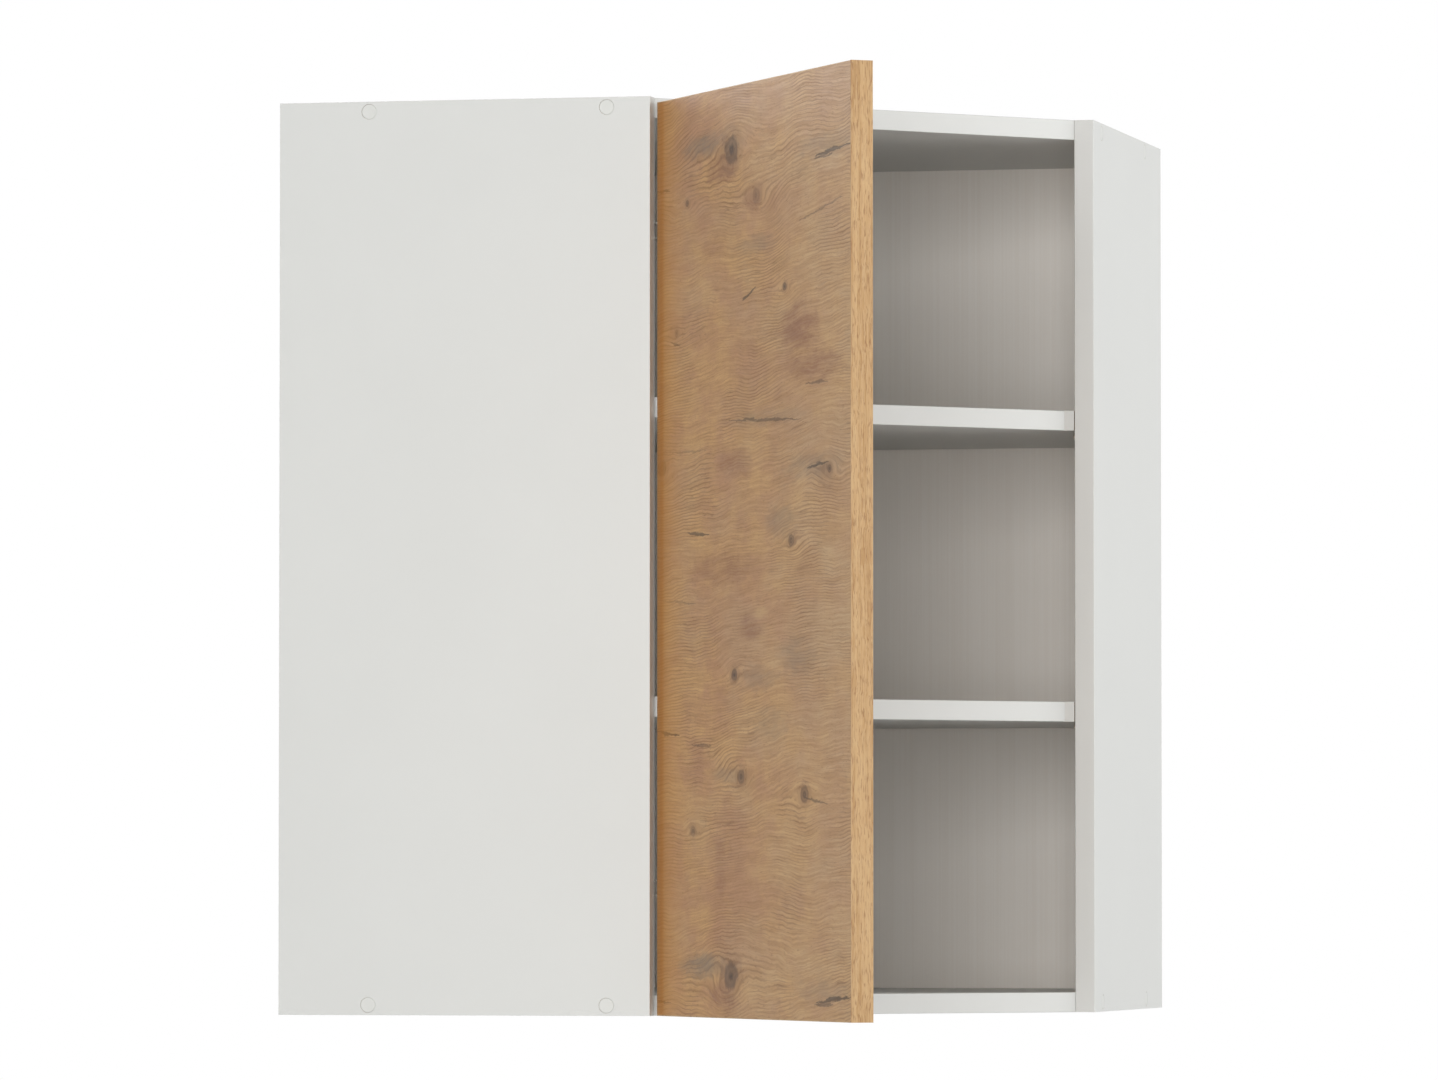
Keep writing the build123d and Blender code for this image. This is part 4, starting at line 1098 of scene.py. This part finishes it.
def placed(graph, shape, given):
    """Sets the shape on every seat, aimed and rolled, and ends the tree."""
    aim = graph.node("GeometryNodeInputNamedAttribute", {"data_type": "FLOAT_VECTOR"}, {"Name": "aim"})
    aimed = graph.node("FunctionNodeAlignRotationToVector", {"axis": "Z"}, {"Vector": aim})
    inputs = {2: 0.0, 3: 2 * pi, "Seed": roll_seed}
    roll = graph.node("FunctionNodeRandomValue", {"data_type": "FLOAT"}, inputs, out=1)
    about = graph.node("FunctionNodeAxisAngleToRotation", inputs={"Axis": (0, 0, 1), "Angle": roll})
    inputs = {"Rotation": aimed, "Rotate By": about}
    rolled = graph.node("FunctionNodeRotateRotation", {"rotation_space": "LOCAL"}, inputs)
    # Round faces are shaded smooth, and edges that bend sharply are kept.
    inputs = {"Geometry": shape, "Shade Smooth": True}
    smooth = graph.node("GeometryNodeSetShadeSmooth", {"domain": "FACE"}, inputs)
    sharp = graph.node("GeometryNodeInputMeshEdgeAngle").maths("GREATER_THAN", flat_angle)
    inputs = {"Geometry": smooth, "Selection": sharp, "Shade Smooth": False}
    shaded = graph.node("GeometryNodeSetShadeSmooth", {"domain": "EDGE"}, inputs)
    inputs = {"Points": given["Seats"], "Instance": shaded, "Rotation": rolled}
    copies = graph.node("GeometryNodeInstanceOnPoints", inputs=inputs)
    real = graph.node("GeometryNodeRealizeInstances", inputs={"Geometry": copies})
    inputs = {"Geometry": real, "Material": given["Finish"]}
    finished = graph.node("GeometryNodeSetMaterial", inputs=inputs)
    graph.node("NodeGroupOutput", inputs={"Shape": finished})
    return graph.tree


def screw_tree():
    names = ("Head Radius", "Head Height", "Shank Radius", "Shank Length", "Thread Pitch", "Point Length")
    graph, given = shape_tree("cross_recess_screw", names)
    head_radius, head_height, shank_radius, shank_length, pitch, point = [given[name] for name in names]
    head = screw_head(graph, head_radius, head_height)
    shank = screw_shank(graph, shank_radius, shank_length, head_height, pitch, point)
    whole = graph.node("GeometryNodeMeshBoolean", {"operation": "UNION"}, {"Mesh 2": [head, shank]})
    blades = recess_blades(graph, head_radius, head_height)
    inputs = {"Mesh 1": whole, "Mesh 2": blades}
    return placed(graph, graph.node("GeometryNodeMeshBoolean", {"operation": "DIFFERENCE"}, inputs), given)


screws = screw_tree()
print(screws.name, "has", len(screws.nodes), "nodes")

# %% [markdown]
# ## Setting the screws
#
# A mesh of loose points carries the seats, with the aim of each as an attribute. The modifier turns them
# into screws, and a plain mesh is made of the result, which then takes the place of the frame's screws.

# %% Screws in place
def grown(name, tree, node, turn, values):
    """Runs a tree on the seats of a node's solids, and lets the result stand for that node."""
    measured = [measure(points, turn) for points in islands(node)]
    seats = [seat for seat, aim, sizes in measured]
    mesh = bpy.data.meshes.new(name + "_seats")
    mesh.from_pydata(seats, [], [])
    aims = mesh.attributes.new("aim", "FLOAT_VECTOR", "POINT")
    for item, (seat, aim, sizes) in zip(aims.data, measured):
        item.vector = aim
    holder = new_object(name + "_seats", mesh)
    modifier = holder.modifiers.new("shape", "NODES")
    modifier.node_group = tree
    values = {**measured[0][2], **values}
    for socket in tree.interface.items_tree:
        if socket.in_out == "INPUT" and socket.name in values:
            modifier[socket.identifier] = values[socket.name]
    seen = holder.evaluated_get(bpy.context.evaluated_depsgraph_get())
    made = bpy.data.meshes.new_from_object(seen)
    made.name = name
    bpy.data.objects.remove(holder)
    piece = new_object(name, made)
    body = frame["nodes"][node].parent.name.split(":")[1]
    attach(piece, body)
    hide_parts(node)
    print(name, "on", body, len(seats), "pieces,", len(made.polygons), "faces")
    return piece


screw_kinds = {  # node: (turn, thread pitch, length of the point)
    "cup_screws": (heading, 0.0014, 0.0030),
    "plate_screws": (0, 0.0018, 0.0012),
    "hinge_adjusting_screws": (0, 0.0009, 0.0008),
    "hanger_screws": (0, 0.0018, 0.0030),
    "hanger_height_screws": (0, 0.0010, 0.0008),
    "left_hanger_depth_screw": (0, 0.0010, 0.0008),
    "right_hanger_depth_screw": (0, 0.0010, 0.0008),
}
for node, (turn, pitch, point) in screw_kinds.items():
    values = {"Thread Pitch": pitch, "Point Length": point, "Finish": zinc}
    grown("threaded_" + node, screws, node, turn, values)

# %% [markdown]
# ## Floor and background
#
# The cabinet hangs, so the floor lies a little below it and catches only a soft shadow. Further out it
# fades into the white of the world, because a photograph on white paper has no horizon. From underneath it
# is clear, so that the underside of the cabinet can be seen.

# %% Floor
cabinet_middle = (cad_low + cad_high) / 2
floor_drop = 0.30  # below the cabinet's underside
floor_half = 6.0
fade_start, fade_end = 0.9, 2.4  # distances from the cabinet's middle
floor_seen = (0.92, 0.92, 0.92, 1)  # colour to the camera
floor_cast = (0.9, 0.9, 0.9, 1)  # colour that it throws back on the cabinet
white = (1, 1, 1, 1)


def floor_finish():
    """Matt paper that turns into white light away from the cabinet, and is clear from below."""
    finish = Finish("pale_floor")
    x, y, _ = finish.split(finish.place)
    across = x - cabinet_middle.x
    deep = y - cabinet_middle.y
    distance = (across * across + deep * deep) ** 0.5
    seen = finish.node("ShaderNodeLightPath", out="Is Camera Ray")
    paint = finish.blend(seen, floor_cast, floor_seen)
    matt = finish.node("ShaderNodeBsdfDiffuse", inputs={"Color": paint, "Roughness": 0.5})
    glow = finish.node("ShaderNodeEmission", inputs={"Color": white, "Strength": 1.0})
    fade = seen * finish.between(distance, fade_start, fade_end)
    faded = finish.node("ShaderNodeMixShader", inputs={0: fade, 1: matt, 2: glow})
    clear = finish.node("ShaderNodeBsdfTransparent")
    below = finish.node("ShaderNodeNewGeometry", out="Backfacing")
    shader = finish.node("ShaderNodeMixShader", inputs={0: below, 1: faded, 2: clear})
    finish.node("ShaderNodeOutputMaterial", inputs={"Surface": shader})
    return finish.material


def make_floor():
    mesh = bpy.data.meshes.new("floor")
    shape = bmesh.new()
    bmesh.ops.create_grid(shape, x_segments=8, y_segments=8, size=floor_half)
    below = (cabinet_middle.x, cabinet_middle.y, cad_low.z - floor_drop)
    bmesh.ops.translate(shape, verts=shape.verts, vec=below)
    shape.to_mesh(mesh)
    shape.free()
    mesh.materials.append(floor_finish())
    floor = new_object("floor", mesh)
    floor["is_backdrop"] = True


make_floor()
print("floor at", round(cad_low.z - floor_drop, 3))

# %% [markdown]
# ## Light
#
# The photograph's light is an even white tent. All outer faces are equally bright, and the backs inside
# grow darker to the left, because the open door stands in the way of the light that comes from there. So
# a dim white world fills the shadows, and panels light each side. Camera, mirrors and glass see the world
# as pure white, at strength 1. A bright world alone would wipe out the shadows inside the cabinet.

# %% World
dome_strength = 0.30


def make_world():
    world = bpy.data.worlds.new("white_dome")
    bpy.context.scene.world = world
    world.use_nodes = True
    world.node_tree.nodes.clear()
    graph = Graph(world.node_tree)
    paths = graph.node("ShaderNodeLightPath").socket.node.outputs
    seen = Wire(graph, paths["Is Camera Ray"])
    for name in ("Is Glossy Ray", "Is Transmission Ray"):
        seen = seen.maths("MAXIMUM", Wire(graph, paths[name]))
    strength = seen * (1 - dome_strength) + dome_strength
    back = graph.node("ShaderNodeBackground", inputs={"Color": white, "Strength": strength})
    graph.node("ShaderNodeOutputWorld", inputs={"Surface": back})


make_world()
print("dome:", dome_strength)

# %% [markdown]
# ## Soft panels
#
# A large square lamp throws soft light. One hangs low in front, and four more let the cabinet be seen from
# all sides. It is easier to say how bright a white surface should be than how many watts a lamp needs: for
# a far lamp, the watts are that brightness times the square of pi times the distance.

# %% Panels round the cabinet
panels = {  # degrees to the right of the front, degrees up, distance, side, brightness of a white face
    "front_panel": (6, 3, 4.5, 2.0, 0.65),
    "right_panel": (97, 10, 4.5, 3.0, 0.58),
    "rear_panel": (215, 25, 3.6, 2.4, 0.22),
    "left_panel": (-130, 20, 3.6, 2.0, 0.24),
    "top_panel": (20, 78, 3.6, 2.0, 0.13),
}


def direction_to(turn, rise):
    """The direction from the cabinet, turned to the right of its front and raised."""
    return Vector((sin(turn) * cos(rise), -cos(turn) * cos(rise), sin(rise)))


for name, (turn, rise, distance, side, level) in panels.items():
    direction = direction_to(radians(turn), radians(rise))
    data = bpy.data.lights.new(name, "AREA")
    data.size = side
    data.energy = level * (pi * distance) ** 2
    lamp = new_object(name, data)
    lamp.location = cabinet_middle + direction * distance
    lamp.rotation_euler = direction.to_track_quat("Z", "Y").to_euler()
    print(name, f"{data.energy:.0f} W")

# %% [markdown]
# ## Camera
#
# The photograph is taken with a long lens from a little above the cabinet's underside, from the right. The
# lens, the place and the two angles were fitted to the corners of the boards and the door.

# %% Camera
focal_pixels = 9141.8  # in the photograph's own pixels
photo_width = 1438
camera_place = (1.9735, -7.5445, 0.0994)
camera_yaw = radians(13.104)  # to the left of +Y
camera_pitch = radians(2.184)  # above level

camera_data = bpy.data.cameras.new("photo_camera")
camera_data.sensor_width = 36.0
camera_data.lens = focal_pixels * camera_data.sensor_width / photo_width
camera_data.clip_start = 0.1
camera_data.clip_end = 100
camera = new_object("photo_camera", camera_data)
camera.location = camera_place
camera.rotation_euler = (pi / 2 + camera_pitch, 0, camera_yaw)
bpy.context.scene.camera = camera
bpy.context.scene.view_settings.view_transform = "Standard"
print(f"camera: {camera_data.lens:.1f} mm lens")

# %% [markdown]
# ## Sizes
#
# The box of the solids and the box of the dressed model are worked out and printed together, so that
# they can be compared.

# %% Sizes of the frame and of the dressed model
shown_low, shown_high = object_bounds()
sizes = {
    "cad": [list(cad_low), list(cad_high)],
    "visual": [list(shown_low), list(shown_high)],
}
print("sizes:", sizes)
